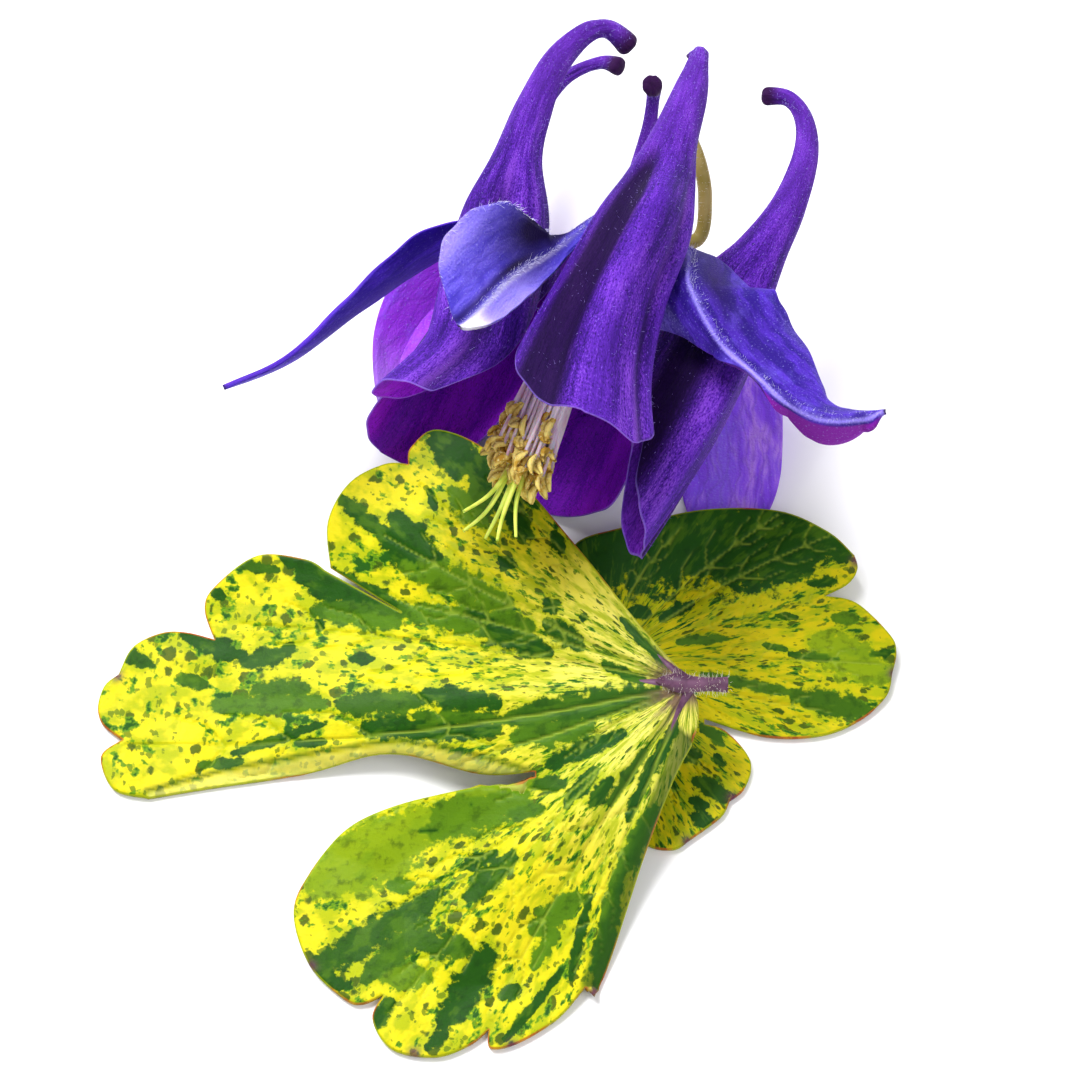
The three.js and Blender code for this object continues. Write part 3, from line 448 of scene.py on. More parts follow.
def ring_bodies(points):
    """Closed bodies from rings of points (bodies, rings, corners, 3), with flat ends."""
    bodies, rings, corners = points.shape[:3]
    size = rings * corners
    offset = np.arange(bodies)[:, None] * size
    quads = grid_faces(rings, corners, around=True)[None] + offset[:, None]
    start = np.arange(corners) + offset
    caps = np.concatenate([start[:, ::-1], start + size - corners])
    points = points.reshape(-1, 3)
    return points, outward(points, [quads.reshape(-1, 4), caps])


def tubes(paths, radii, corners=6):
    """Round stems: rings square to each path (stems, rings, 3), closed at both ends."""
    forward = unit(np.gradient(paths, axis=1))
    side = unit(np.cross(forward, unit(np.array([0.3, 0.3, 1.0]))))
    other = np.cross(forward, side)
    turn = np.arange(corners) * 2 * np.pi / corners
    ring = side[:, :, None] * np.cos(turn)[:, None] + other[:, :, None] * np.sin(turn)[:, None]
    return ring_bodies(paths[:, :, None] + ring * radii[..., None, None])


def hairs(roots, directions, lengths, radius, bend, seed):
    """Tapered three-sided hairs: each bends a little sideways on its way out."""
    random = np.random.default_rng(seed)
    steps = np.linspace(0, 1, 4)
    sway = random.normal(0, bend, roots.shape)
    paths = roots[:, None] + lengths[:, None, None] * (
        directions[:, None] * steps[:, None] + sway[:, None] * (steps ** 2)[:, None])
    radii = radius * np.array([1, 0.8, 0.55, 0.12]) * np.ones((len(roots), 1))
    return tubes(paths, radii, 3)


def hairs_on(grid, row, column, lengths, radius, random):
    """Hairs that stand off the outer side of a flower's surface at some points of its grid."""
    normal = grid_normals(grid)
    facing = np.sign((normal * (grid - FLOWER_PLACE)).sum(-1).mean())
    count = len(row)
    ways = unit(facing * normal[row, column] + random.normal(0, 0.45, (count, 3)))
    return hairs(grid[row, column], ways, random.uniform(*lengths, count), radius, 0.3, 4)


# ---- materials ----


def linear(colour):
    """sRGB hex to linear red, green, blue and alpha."""
    values = [int(colour[i:i + 2], 16) / 255 for i in (1, 3, 5)]
    return [v / 12.92 if v <= 0.04045 else ((v + 0.055) / 1.055) ** 2.4 for v in values] + [1]


class Value:
    """What one node of a finish gives; sums with it become nodes too."""

    def __init__(self, finish, node, output):
        self.finish, self.node, self.socket = finish, node, node.outputs[output]

    def sum(self, kind, other):
        """One sum with a number or another value."""
        return self.finish.node("Math", {0: self, 1: other}, operation=kind)

    def __add__(self, other):
        return self.sum("ADD", other)

    def __sub__(self, other):
        return self.sum("SUBTRACT", other)

    def __mul__(self, other):
        return self.sum("MULTIPLY", other)

    def ramp(self, low, high):
        """Rises smoothly from 0 to 1 as the value goes from low to high."""
        return self.finish.node("MapRange", {"Value": self, "From Min": low, "From Max": high},
                                "Result", interpolation_type="SMOOTHSTEP")


class Finish:
    """A material in the making: its nodes, its shader and the colour it has so far."""

    def __init__(self, name, **values):
        self.material = bpy.data.materials.new(name)
        self.material.use_nodes = True
        self.tree = self.material.node_tree
        self.shader = self.tree.nodes["Principled BSDF"]
        self.colour = None
        for key, value in values.items():
            self.shader.inputs[key.replace("_", " ")].default_value = value

    def node(self, kind, inputs, output=0, **settings):
        """What a new node gives; its inputs are values, numbers, rows of numbers or colours."""
        node = self.tree.nodes.new("ShaderNode" + kind)
        for key, value in settings.items():
            setattr(node, key, value)
        for key, value in inputs.items():
            if isinstance(value, Value):
                self.tree.links.new(value.socket, node.inputs[key])
            else:
                node.inputs[key].default_value = linear(value) if isinstance(value, str) else value
        return Value(self, node, output)

    def fact(self, name, output="Fac"):
        """Numbers kept with the mesh."""
        return self.node("Attribute", {}, output, attribute_name=name)

    def stretched(self, vector, scale):
        """A vector with its three parts made longer or shorter."""
        return self.node("Mapping", {"Vector": vector, "Scale": scale})

    def moved(self, vector, **by):
        """A vector with values added to its named parts."""
        step = self.node("CombineXYZ", by)
        return self.node("VectorMath", {0: vector, 1: step}, operation="ADD")

    def noise(self, vector, scale, detail=2, roughness=0.5, stretch=None):
        """Soft noise; scale is how many times it changes in one unit of the vector."""
        if stretch:
            vector = self.stretched(vector, stretch)
        return self.node("TexNoise", {"Vector": vector, "Scale": scale, "Detail": detail,
                                      "Roughness": roughness}, "Fac")

    def mix(self, factor, a, b):
        """Mix of two colours."""
        return self.node("Mix", {0: factor, 6: a, 7: b}, 2, data_type="RGBA")

    def paint(self, *layers):
        """Put colours over what is there, one after the other, each as far as its factor says."""
        for factor, colour in layers:
            self.colour = self.mix(factor, self.colour, colour)

    def done(self, height, distance):
        """The material with its colour and with bumps that are this distance high in metres."""
        bump = self.node("Bump", {"Height": height, "Strength": 1.0, "Distance": distance})
        self.tree.links.new(self.colour.socket, self.shader.inputs["Base Color"])
        self.tree.links.new(bump.socket, self.shader.inputs["Normal"])
        return self.material


def petal_tissue(settings):
    """Petal tissue: thin, turgid cells with a velvety skin of cone-shaped cells. It scatters
    light inside, so it glows where light comes from behind. The redder inner face is partly its
    own colour and partly a painted glow of light through the petal; the folds get painted shade
    in their valleys and a painted highlight on their ridges."""
    finish = Finish("petal tissue", Roughness=0.6, Subsurface_Weight=0.12,
                    Subsurface_Scale=0.0004, Subsurface_Radius=(0.8, 0.2, 1.0),
                    Sheen_Weight=0.015, Sheen_Roughness=0.4, Sheen_Tint=linear("#8a78f0"),
                    Specular_IOR_Level=0.06)
    grain = finish.fact("grain", "Vector")
    along, deep = finish.fact("along"), finish.fact("fold_shading")
    streaks = finish.noise(grain, 1.0, 3, 0.6, (0.9, 0.9, 0.08))
    veins = finish.noise(grain, 1.0, 2, 0.6, (4.0, 4.0, 0.25))
    cloud = finish.noise(grain, 1.0, 2, 0.5, (0.4, 0.4, 0.18))
    # cone cells are 0.03 mm wide; drawn 0.12 mm wide so that a picture of this size shows them
    cells = finish.noise(grain, 8.0, 2, 0.6)
    mix = cells + veins * 0.5 + streaks * 0.6 + cloud * 0.9
    # the inner face's magenta: partly its own colour, partly a painted glow of light through the
    # petal
    inner = finish.mix(mix.ramp(1.2, 1.75), "#6c08b4", "#a020e4")
    finish.colour = finish.mix(mix.ramp(1.25, 1.65), settings.petal_shade, settings.petal_violet)
    finish.paint((mix.ramp(1.5, 1.85) * 0.8, settings.petal_light),
                 (along.ramp(5.5, 3.0) * 0.4, "#6430a6"),
                 (finish.fact("inside"), inner),
                 # painted highlight on the ridges of the folds
                 (deep.ramp(0.0, -1.0) * 0.6, "#5c2cb0"),
                 (cells.ramp(0.66, 0.76) * 0.45, "#9a80e8"),
                 (cells.ramp(0.44, 0.3) * 0.6, "#14042c"),
                 # painted shade in the valleys of the folds
                 (deep.ramp(0.0, 0.8) * 0.94, "#120128"),
                 (along.ramp(0.9, 0.3), "#30123f"),
                 (finish.fact("rim").ramp(0.14, 0.04) * 0.5, "#8c70dc"))
    return finish.done(veins * 0.6 + cells * 0.5 + streaks, 0.0001)


def sepal_tissue():
    """Sepal tissue: a little firmer than a petal, with a net of veins and a dull, hairy back."""
    finish = Finish("sepal tissue", Roughness=0.6, Subsurface_Weight=0.2,
                    Subsurface_Scale=0.0005, Subsurface_Radius=(0.8, 0.3, 1.0),
                    Sheen_Weight=0.06, Sheen_Roughness=0.4, Sheen_Tint=linear("#a8a8ff"),
                    Specular_IOR_Level=0.12)
    grain, pale = finish.fact("grain", "Vector"), finish.fact("pale")
    hue, shade = finish.fact("hue", "Color"), finish.fact("shade", "Color")
    bent = finish.moved(grain, X=finish.noise(grain, 0.6))
    net = finish.node("TexVoronoi", {"Vector": finish.stretched(bent, (1.3, 0.35, 1.0)),
                                     "Scale": 1.0, "Randomness": 0.9},
                      "Distance", feature="DISTANCE_TO_EDGE")
    veins = net.ramp(0.16, 0.0)
    bands = finish.noise(bent, 1.0, 3, 0.55, (1.0, 0.22, 1.0))
    fine = finish.noise(bent, 1.0, 2, 0.6, (4.5, 0.7, 1.0))
    cloud = finish.noise(grain, 0.45, 3, 0.55)
    cells = finish.noise(grain, 7.0, 2, 0.6)
    uneven = pale + ((fine * 0.7 + cells) * 0.9 - 0.76)
    finish.colour = finish.mix(bands.ramp(0.4, 0.6), shade, hue)
    finish.paint((cloud.ramp(0.5, 0.7) * 0.25, "#7a66f0"),
                 (fine.ramp(0.55, 0.35) * 0.55, shade),
                 (cells.ramp(0.48, 0.3) * 0.5, shade),
                 (veins * 0.18, "#240c6c"),
                 # red: a painted glow of light through the right sepal's tip
                 (finish.fact("red"), "#7c1a9c"),
                 # pale: partly own colour and hairs, partly a painted highlight on keels and lit
                 # margins
                 (uneven.ramp(0.0, 1.1) * pale, "#a090fa"),
                 # white: partly a painted highlight
                 (finish.fact("white"), "#f3eeff"),
                 (cells.ramp(0.6, 0.74) * 0.4, "#a9a4f6"),
                 # painted shade in troughs and creases, and the darker tips
                 (finish.fact("shade_and_dark_tips"), "#140833"))
    return finish.done(cells * 0.5 - veins * 0.06 + bands * 0.8, 0.0001)


def dots(finish, vector, stretch, keep):
    """Round spots of different sizes, one for each cell; keep is a value added to their size."""
    cell = finish.node("TexVoronoi", {"Vector": finish.stretched(vector, stretch), "Scale": 1.0},
                       "Distance")
    draw = finish.node("SeparateColor", {"Color": Value(finish, cell.node, "Color")})
    return (draw * 0.45 + keep - cell).ramp(-0.04, 0.06)


def leaf_tissue(name, yellow, pale):
    """Variegated leaf: a satin wax skin over yellow tissue, with flecks and patches where the
    cells hold green; pale veins; a thin margin, reddish in places."""
    finish = Finish(name, Roughness=0.5, Subsurface_Weight=0.4, Subsurface_Scale=0.0006,
                    Subsurface_Radius=(1.0, 1.0, 0.15), Specular_IOR_Level=0.1)
    fan, plan = finish.fact("fan", "Vector"), finish.fact("plan", "Vector")
    middle, tone, vein = finish.fact("middle"), finish.fact("tone"), finish.fact("vein")
    ragged = finish.noise(plan, 1.2, 4, 0.62)
    cloud = finish.noise(fan, 1.0, 3, 0.55, (0.3, 0.14, 1.0))
    fleck = finish.noise(fan, 1.0, 3, 0.6, (1.4, 0.75, 1.0))
    other = finish.noise(fan, 1.0, 3, 0.6, (0.9, 0.45, 0.0))
    field = finish.fact("patch") + (ragged - 0.5) * 2.8
    density = (cloud - 0.5) * 0.5
    dense, wide = fleck + density, other + density
    keep = density - middle * 0.1
    wobble = finish.moved(fan, X=ragged, Y=other)
    finish.colour = finish.mix(middle * 0.8, yellow, pale)
    finish.paint((wide.ramp(0.42, 0.6) * 0.8, "#98a606"),
                 (field.ramp(-0.9, 0.0) * 0.6, "#aab404"),
                 (dots(finish, wobble, (2.3, 1.8, 1.0), keep) * 0.8, "#56700a"),
                 (dots(finish, wobble, (1.15, 0.85, 1.0), keep) * 0.9, "#2c4c0a"),
                 (dense.ramp(0.56, 0.62), "#5c880c"),
                 (dense.ramp(0.62, 0.67), "#20520c"))
    green = finish.mix(tone.ramp(0.5, 1.1), "#849c0a", "#4c740a")
    green = finish.mix(tone.ramp(1.1, 1.9), green, "#1b4a05")
    green = finish.mix(ragged.ramp(0.5, 0.68) * 0.5, green, "#103603")
    green = finish.mix(wide.ramp(0.5, 0.36) * 0.35, green, "#5c840e")
    rim = finish.mix(cloud.ramp(0.5, 0.62), "#8f9a14", "#b0502a")
    stroke = field.ramp(-0.22, 0.14)
    finish.paint((stroke, green),
                 (middle * stroke * 0.18, "#2e5c38"),
                 (vein.ramp(0.1, 0.9) * (stroke * 0.4 + 0.22), "#9db338"),
                 # painted shade, darker green, along the crease lines and on the strips bent down
                 # beyond the folds
                 (finish.fact("fold_shade"), "#1f4c0c"),
                 (finish.fact("turned"), "#e4e07a"),
                 (finish.fact("edge").ramp(0.12, 0.04) * 0.75, rim),
                 (finish.fact("purple"), "#5c3048"))
    return finish.done(ragged * 0.5 - vein, 0.00012)


def plain_tissue(name, colour, other, roughness, scale, glow=0.0):
    """Dull plant tissue of one colour with soft blotches of another."""
    finish = Finish(name, Roughness=roughness, Specular_IOR_Level=0.35, Subsurface_Weight=glow,
                    Subsurface_Scale=0.0004)
    cloud = finish.noise(finish.node("TexCoord", {}, "Object"), scale, 3, 0.6)
    finish.colour = finish.mix(cloud.ramp(0.38, 0.62), colour, other)
    return finish.done(cloud, 0.0001)


def anther_skin():
    """Anthers: dull, powdery walls, brown where they have dried and dusted with yellow pollen."""
    finish = Finish("powdery anther", Roughness=0.85, Specular_IOR_Level=0.2,
                    Subsurface_Weight=0.1, Subsurface_Scale=0.0003)
    where = finish.node("TexCoord", {}, "Object")
    cloud, grit = finish.noise(where, 900, 3, 0.65), finish.noise(where, 6000, 1)
    finish.colour = finish.mix(cloud.ramp(0.38, 0.58), "#c49a34", "#f4de7c")
    finish.paint((finish.fact("groove") * 0.75, "#7a5418"), (grit.ramp(0.62, 0.72), "#efe29a"))
    return finish.done(cloud + grit * 0.4, 0.0002)


# ---- petals and sepals ----


def apart(around, angle):
    """Difference of a direction in radians and one in degrees, from -180 to 180 degrees."""
    return (np.degrees(around) - angle + 180) % 360 - 180


def petal_rim(petal, around):
    """Where the blade ends, in rows of the profile: longest on the outer side, and at its lips."""
    rim = INNER_LIP + (PETAL_END - INNER_LIP) * ((1 + np.cos(around)) / 2) ** RIM_SWEEP
    for angle, width, longer in petal["lips"]:
        rim = rim + longer * hump(apart(around, angle), 0, width)
    return np.minimum(rim, PETAL_END)


def petal_folds(petal, steps, around):
    """How far the folds stand out of the funnel."""
    return sum(height * hump(apart(around, angle), 0, width) * rise(steps, first, FOLD_ROWS)
               for angle, width, height, first in petal["folds"])


def petal_surface(petal, steps, around, inset):
    """Points of a petal's funnel: an oval section square to the profile's curve, rounded at the
    knob, turned towards the blade's end, with lengthwise folds."""
    out, along, deep, wide = PETAL_PROFILE.T
    size = np.array(petal["size"])
    rows = np.stack([
        out + petal["out"], along * np.where(along < 0, petal["blade"], petal["spur"]),
        deep * size, wide * size,
        petal["turn"] * rise(np.arange(PETAL_END + 1), 1, MOUTH + 1), petal["side"]], -1)
    here = through(rows, steps)
    ahead = through(rows, np.minimum(steps + 0.05, PETAL_END))
    behind = through(rows, np.clip(steps - 0.05, 0, PETAL_END - 0.1))
    step = unit(ahead[..., :2] - behind[..., :2])
    knob = np.sqrt(1 - (1 - np.clip(steps / KNOB, 0, 1)) ** 2)
    swell = 0.03 * np.sin(13 * around + 1.3 * petal["angle"]) * rise(steps, 4, 3)
    swell = swell + 0.05 * bumps(around * 2.5, steps * 1.2, petal["angle"])
    swell = swell - inset + petal_folds(petal, steps, around)
    lift = (here[..., 2] * knob + swell) * np.cos(around)
    x = here[..., 0] - step[..., 1] * lift
    y = here[..., 5] + (here[..., 3] * knob + swell) * np.sin(around)
    x, y = turned_by(x, y, np.radians(here[..., 4]))
    return np.stack([x, y, here[..., 1] + step[..., 0] * lift], -1)


def make_petal(name, petal, wall, material):
    """A petal: outer and inner surface of the funnel in one closed mesh."""
    around = np.linspace(0, 2 * np.pi, PETAL_COLUMNS, endpoint=False)
    every = np.ones(PETAL_COLUMNS)
    rim = petal_rim(petal, around) + 0.04 * bumps(around * 3, around * 0, petal["angle"] + 1)
    spur = np.concatenate([KNOB * np.linspace(0.02, 1, 10)[:-1] ** 2,
                           np.linspace(KNOB, SPUR_END, 56)])
    outer = np.concatenate([spur[:, None] * every,
                            SPUR_END + np.linspace(0, 1, 90)[1:, None] * (rim - SPUR_END)])
    inner = HOLLOW_FROM + np.linspace(1, 0, 70)[:, None] * (rim - HOLLOW_FROM)
    steps = np.concatenate([outer, inner])
    inset = np.zeros(steps.shape)
    inset[len(outer):] = wall * (0.3 + 0.7 * smooth((rim - inner) * 4))
    points = in_flower(petal_surface(petal, steps, around, inset), petal["angle"])
    points[..., 2] = np.maximum(points[..., 2], 0.05 + inset)
    index = np.arange(PETAL_COLUMNS)
    ahead, centre = np.roll(index, -1), np.full(PETAL_COLUMNS, steps.size)
    start = steps.size - PETAL_COLUMNS
    caps = np.concatenate([np.stack([index, ahead, centre], -1),
                           np.stack([ahead + start, index + start, centre + 1], -1)])
    whole = np.concatenate([points.reshape(-1, 3), points[[0, -1]].mean(1)])
    faces = outward(whole, [grid_faces(*steps.shape, around=True), caps])
    width = 1.2 + 0.55 * steps
    # the inner rows get the redder inner face, partly its own colour and partly a painted glow of
    # light through the petal
    glow = np.repeat([0.0, petal["glow"]], [len(outer), len(inner)])[:, None]
    facts = dict(
        grain=np.stack([np.cos(around) * width, np.sin(around) * width, steps * 4], -1),
        # heights of the folds, kept for painted shade in their valleys and a painted highlight on
        # their ridges
        along=steps, rim=(rim - steps) * 5, fold_shading=-1.6 * petal_folds(petal, steps, around),
        inside=glow * every)
    full = {key: np.concatenate([v.reshape(-1, *v.shape[2:]), v[[0, -1], 0]])
            for key, v in facts.items()}
    piece = make_piece(name, whole, faces, material, "petal", **full)
    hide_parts(name)
    return points[:len(outer)]


def sepal_grid(sepal):
    """Middle surface of a sepal: from each point of the spine, short steps to either side that
    climb outwards by the given angles; columns run from the left to the right margin."""
    level = np.linspace(0, 1, SEPAL_ROWS)
    last = len(sepal["spine"]) - 1
    midrib = through(sepal["spine"], level * last)
    forward = unit(through(sepal["spine"], np.minimum(level + 0.02, 1) * last)
                   - through(sepal["spine"], np.maximum(level - 0.02, 0) * last))
    t = level[:, None]
    side = unit(np.array([0, 1.0, 0]) - forward * forward[:, 1:2])
    twist = np.radians(sepal["twist"] * t)
    side = side * np.cos(twist) + np.cross(forward, side) * np.sin(twist)
    outer = np.cross(forward, side)
    share = (np.arange(SEPAL_STRIPS) + 0.5) / SEPAL_STRIPS
    halves, reach = [], []
    for way, (widths, root, tip) in ((-1, sepal["left"]), (1, sepal["right"])):
        half = np.maximum(through(widths, level * (len(widths) - 1)), SEPAL_TIP)
        half = half * np.minimum(1, np.sqrt((1 - t) / 0.05) + 0.05)
        near, far = (np.interp(share, [0, KEEL_EDGE, 1], climb) for climb in (root, tip))
        climb = np.radians((near * (1 - t) + far * t) * np.clip(half / STEEP_FROM, 0, 1))
        ripple = 0.012 * np.sin(t * 55 + way) * share ** 3 * SEPAL_STRIPS / 8
        sideways = np.cumsum(np.cos(climb) * half, 1)[..., None] * way * side[:, None]
        upwards = np.cumsum((np.sin(climb) + ripple) * half, 1)[..., None] * outer[:, None]
        halves.append(midrib[:, None] + (sideways + upwards) / SEPAL_STRIPS)
        reach.append(half * (np.arange(SEPAL_STRIPS) + 1) / SEPAL_STRIPS * way)
    grid = np.concatenate([halves[0][:, ::-1], midrib[:, None], halves[1]], 1)
    across = np.concatenate([reach[0][:, ::-1], t * 0, reach[1]], 1)
    along = np.concatenate([[0], np.cumsum(np.linalg.norm(np.diff(midrib, axis=0), axis=1))])
    every = np.ones(across.shape[1])
    return grid, across, along[:, None] * every, t * every


def sepal_looks(name, across, t):
    """How pale, white, darkened and reddened each point is: hairy keels are pale, partly from their
    hairs and partly as a painted highlight, and lit margins are pale as a painted highlight; the
    troughs and creases near the roots of the front left and the right sepal get painted shade; all
    tips are darker; the red near the right sepal's tip is a painted glow of light through it."""
    pale, white, shade_and_dark_tips, red = (np.zeros(t.shape) for _ in range(4))
    if name == "sepal_front_left":
        keel = hump(across, 0.1, 0.16) * rise(t, 0.25, 0.2)
        right = rise(across, 0, 0.3)
        # pale keel: partly its hairs, partly a painted highlight; pale left margin: a painted
        # highlight; the strip beside the keel is paler as its other face shows
        pale = 0.8 * keel + 0.95 * rise(across, -1.6, -3) * rise(t, 0.36, 0.4)
        pale = pale + 0.9 * right * rise(t, 0.3, 0.3)
        # the white near the strip's end is partly a painted highlight
        white = right * rise(t, 0.8, 0.12) + 0.4 * keel
        # painted shade in the trough near the root and along the crease beside the keel
        trough_shade = hump(across, -2, 2.2) * hump(t, 0.42, 0.17)
        trough_shade = trough_shade + 0.7 * hump(across, -0.45, 0.35) * rise(t, 0.4, 0.2)
        shade_and_dark_tips = 1.1 * trough_shade + 0.5 * rise(t, 0.42, -0.1) * rise(across, 0, -0.4)
    if name == "sepal_right":
        # pale keel: partly its hairs, partly a painted highlight
        pale = 0.9 * hump(across, -0.25, 0.22) * rise(t, 0.05, 0.2)
        pale = pale + 0.5 * rise(across, -1.8, -0.5) * rise(t, 0.6, -0.2)
        # painted sheen along the outer part of the right margin
        pale = pale + 0.4 * rise(across, 3, 2) * rise(t, 0.45, 0.2)
        # red near the tip: a painted glow of light shining through the thin tip
        red = rise(t, 0.66, 0.06) * rise(across, -0.5, -0.2)
        # painted shade in the trough beside the keel
        shade_and_dark_tips = 0.85 * hump(across, 1.5, 1.3) * hump(t, 0.35, 0.2)
    if name == "sepal_left":
        pale = 0.3 * hump(across, -0.2, 1.2) * rise(t, 0.2, 0.4)
        pale = pale + 0.5 * rise(np.abs(across), 2.2, 1.2) * rise(t, 0.5, 0.2)
    if name == "sepal_rear_right":
        pale = 0.5 * hump(across, 0.8, 1.6) * rise(t, 0.35, 0.3)
    if name == "sepal_rear_left":
        white = 0.2 * rise(t, 0.8, 0.2)
    shade_and_dark_tips = shade_and_dark_tips + 0.8 * rise(t, 0.985, 0.012)
    looks = dict(pale=pale, white=white, shade_and_dark_tips=shade_and_dark_tips, red=red)
    return {key: np.tile(np.clip(look, 0, 1).ravel(), 2) for key, look in looks.items()}


def make_sepal(name, sepal, thick, material):
    """A sepal: its middle surface given a thickness that thins out at the rim."""
    grid, across, along, t = sepal_grid(sepal)
    grid = in_flower(grid, sepal["angle"])
    grid[..., 2] = np.maximum(grid[..., 2], 0.2)
    half = np.maximum(np.abs(across[:, [0, -1]]).max(1, keepdims=True), SEPAL_TIP)
    thin = thick * (1 - 0.6 * rise(np.abs(across) / half, 0.8, 0.2))
    middle = grid[SEPAL_ROWS // 2, SEPAL_STRIPS]
    normal = np.cross(grid[SEPAL_ROWS // 2 + 1, SEPAL_STRIPS] - middle,
                      grid[SEPAL_ROWS // 2, SEPAL_STRIPS + 1] - middle)
    away = np.dot(normal, middle - FLOWER_PLACE) > 0
    outer = np.repeat([1.0, 0.0] if away else [0.0, 1.0], across.size)[:, None]
    hue, shade, inner_hue, inner_shade = (
        np.array(linear(colour)[:3]) for colour in SEPAL_COLOURS[name])
    grain = np.stack([across, along, t * 0], -1).reshape(-1, 3)
    piece = make_piece(name, *shell(grid, thin[..., None]), material, "sepal",
                       grain=np.concatenate([grain, grain + 7.3]),
                       hue=hue * outer + inner_hue * (1 - outer),
                       shade=shade * outer + inner_shade * (1 - outer),
                       **sepal_looks(name, across, t))
    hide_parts(name)
    return grid


# ---- stamens ----


def in_column(points):
    """Points (sideways, sideways, along the bundle from the mouth) in the flower's frame."""
    y, z = turned_by(points[..., 1], -points[..., 2], np.radians(-COLUMN_TILT))
    return in_flower(np.stack([points[..., 0], y, z], -1), 0)


def filament_paths(count, random):
    """The way of each filament along the bundle."""
    angle = np.arange(count)[:, None] * np.radians(137.5)
    radius = COLUMN_RADIUS * np.sqrt((np.arange(count)[:, None] + 0.5) / count)
    lean = random.uniform(0.0, 0.7, (count, 1))
    length = random.uniform(12.8, 17.4, (count, 1))
    length[::24] -= 4.0
    steps = np.linspace(0, 1, FILAMENT_RINGS)
    out = radius * (0.9 + 0.1 * steps) + lean * radius / COLUMN_RADIUS * steps ** 3
    wave = 0.12 * np.sin(steps * 5 + angle * 3)
    return np.stack([out * np.cos(angle) + wave,
                     out * np.sin(angle) - wave - COLUMN_SWAY * smooth(steps * 2),
                     COLUMN_START + steps * (length - COLUMN_START)], -1)


def anther_bodies(tops, directions, random):
    """Two-lobed anthers: an egg section pinched between the lobes, flat and twisted, tapering to
    both ends."""
    count = len(tops)
    t = np.linspace(0, 1, ANTHER_RINGS)[None, :, None]
    turn = (np.arange(ANTHER_SIDES) * 2 * np.pi / ANTHER_SIDES)[None, None]
    length = random.uniform(1.2, 1.65, count)[:, None, None]
    wide = random.uniform(0.33, 0.43, count)[:, None, None]
    gap = hump(np.abs(np.abs(turn - np.pi) - np.pi / 2), 0, 0.32)
    roll = random.uniform(0, 2 * np.pi, count)[:, None, None] + 0.9 * t
    size = wide * np.sin(np.pi * (0.06 + 0.88 * t)) ** 0.6 * (1 - 0.45 * gap)
    size = size * (1 + 0.08 * np.sin(turn * 5 + t * 19 + roll * 7))
    u, v = turned_by(size * np.cos(turn), 0.62 * size * np.sin(turn), roll)
    bent = 0.25 * np.sin(np.pi * t)
    forward = unit(directions)
    side = unit(np.cross(forward, np.array([0.4, 0.2, 1.0])))
    other = np.cross(forward, side)
    points = tops[:, None, None] + sum(
        part[..., None] * way[:, None, None]
        for part, way in ((length * t, forward), (u + bent, side), (v, other)))
    groove = np.tile(gap, (count, ANTHER_RINGS, 1)).ravel()
    return *ring_bodies(points), groove


# ---- leaflets ----


def leaf_outline(margin):
    """The outline as smooth curves that meet at its corners."""
    outline = np.empty((0, 2))
    for curve in margin:
        points = np.concatenate([outline[-1:], curve])
        count = (len(points) - 1) * (9 if len(points) > 2 else 10)
        outline = np.concatenate([outline, evenly(points, count + 1)[len(outline[-1:]):]])
    return outline[:-1]


def nearest(points, starts, ends):
    """Distance from each point to the nearest of the straight pieces, which one it is, and how
    far along it that is; worked out for a few thousand points at a time."""
    line = ends - starts
    length = np.maximum((line ** 2).sum(-1), 1e-9)
    found = []
    for some in np.array_split(points, len(points) // 3000 + 1):
        offset = some[:, None] - starts[None]
        along = np.clip((offset * line).sum(-1) / length, 0, 1)
        off = np.linalg.norm(offset - along[..., None] * line, axis=-1)
        best = off.argmin(1)
        row = np.arange(len(some))
        found.append((off[row, best], best, along[row, best]))
    return [np.concatenate(part) for part in zip(*found)]


def inside_outline(points, outline):
    """True where a line to the left crosses the outline an odd number of times."""
    a, b = outline, np.roll(outline, -1, 0)
    x, y = points[:, :1], points[:, 1:]
    climb = np.where(b[:, 1] == a[:, 1], 1e-9, b[:, 1] - a[:, 1])
    at = a[:, 0] + (y - a[:, 1]) * (b[:, 0] - a[:, 0]) / climb
    return (((a[:, 1] > y) != (b[:, 1] > y)) & (x < at)).sum(1) % 2 == 1


def leaf_plan(outline, spacing):
    """Points that fill the outline's plan in a net of even spacing, and triangles of them."""
    low, high = outline.min(0), outline.max(0)
    x, y = np.meshgrid(np.arange(low[0], high[0], spacing),
                       np.arange(low[1], high[1], spacing * 0.87))
    x = x + (np.arange(len(y)) % 2 * spacing / 2)[:, None]
    inner = np.stack([x.ravel(), y.ravel()], -1)
    inner = inner[inside_outline(inner, outline)]
    inner = inner[nearest(inner, outline, np.roll(outline, -1, 0))[0] > spacing * 0.6]
    corners = [Vector(p) for p in np.concatenate([outline, inner])]
    result = delaunay_2d_cdt(corners, [], [list(range(len(outline)))], 1, 1e-5)
    return np.array([tuple(v) for v in result[0]]), np.array([tuple(f) for f in result[2]])


def leaf_polar(leaf, plan):
    """Direction in degrees and distance of points of the plan."""
    direction = (np.degrees(np.arctan2(plan[:, 1], plan[:, 0])) - leaf["first"]) % 360
    return direction + leaf["first"], np.hypot(plan[:, 0], plan[:, 1])


def leaf_height(leaf, direction, distance):
    """Height of the blade: high in the middle, falling to the height of the margin over the
    span, swollen along the main veins."""
    lie = np.array(leaf["lie"], float)
    margin = np.interp(direction, lie[:, 0], lie[:, 1])
    s = np.clip(distance / np.interp(direction, lie[:, 0], lie[:, 2]), 0, 1)
    height = margin + (leaf["height"] - margin) * (1 - s) ** 1.6
    for angle, width, swell in leaf["ridges"]:
        height = height + swell * hump(direction, angle, width) * 4 * s * (1 - s)
    return np.maximum(height, 0.3)


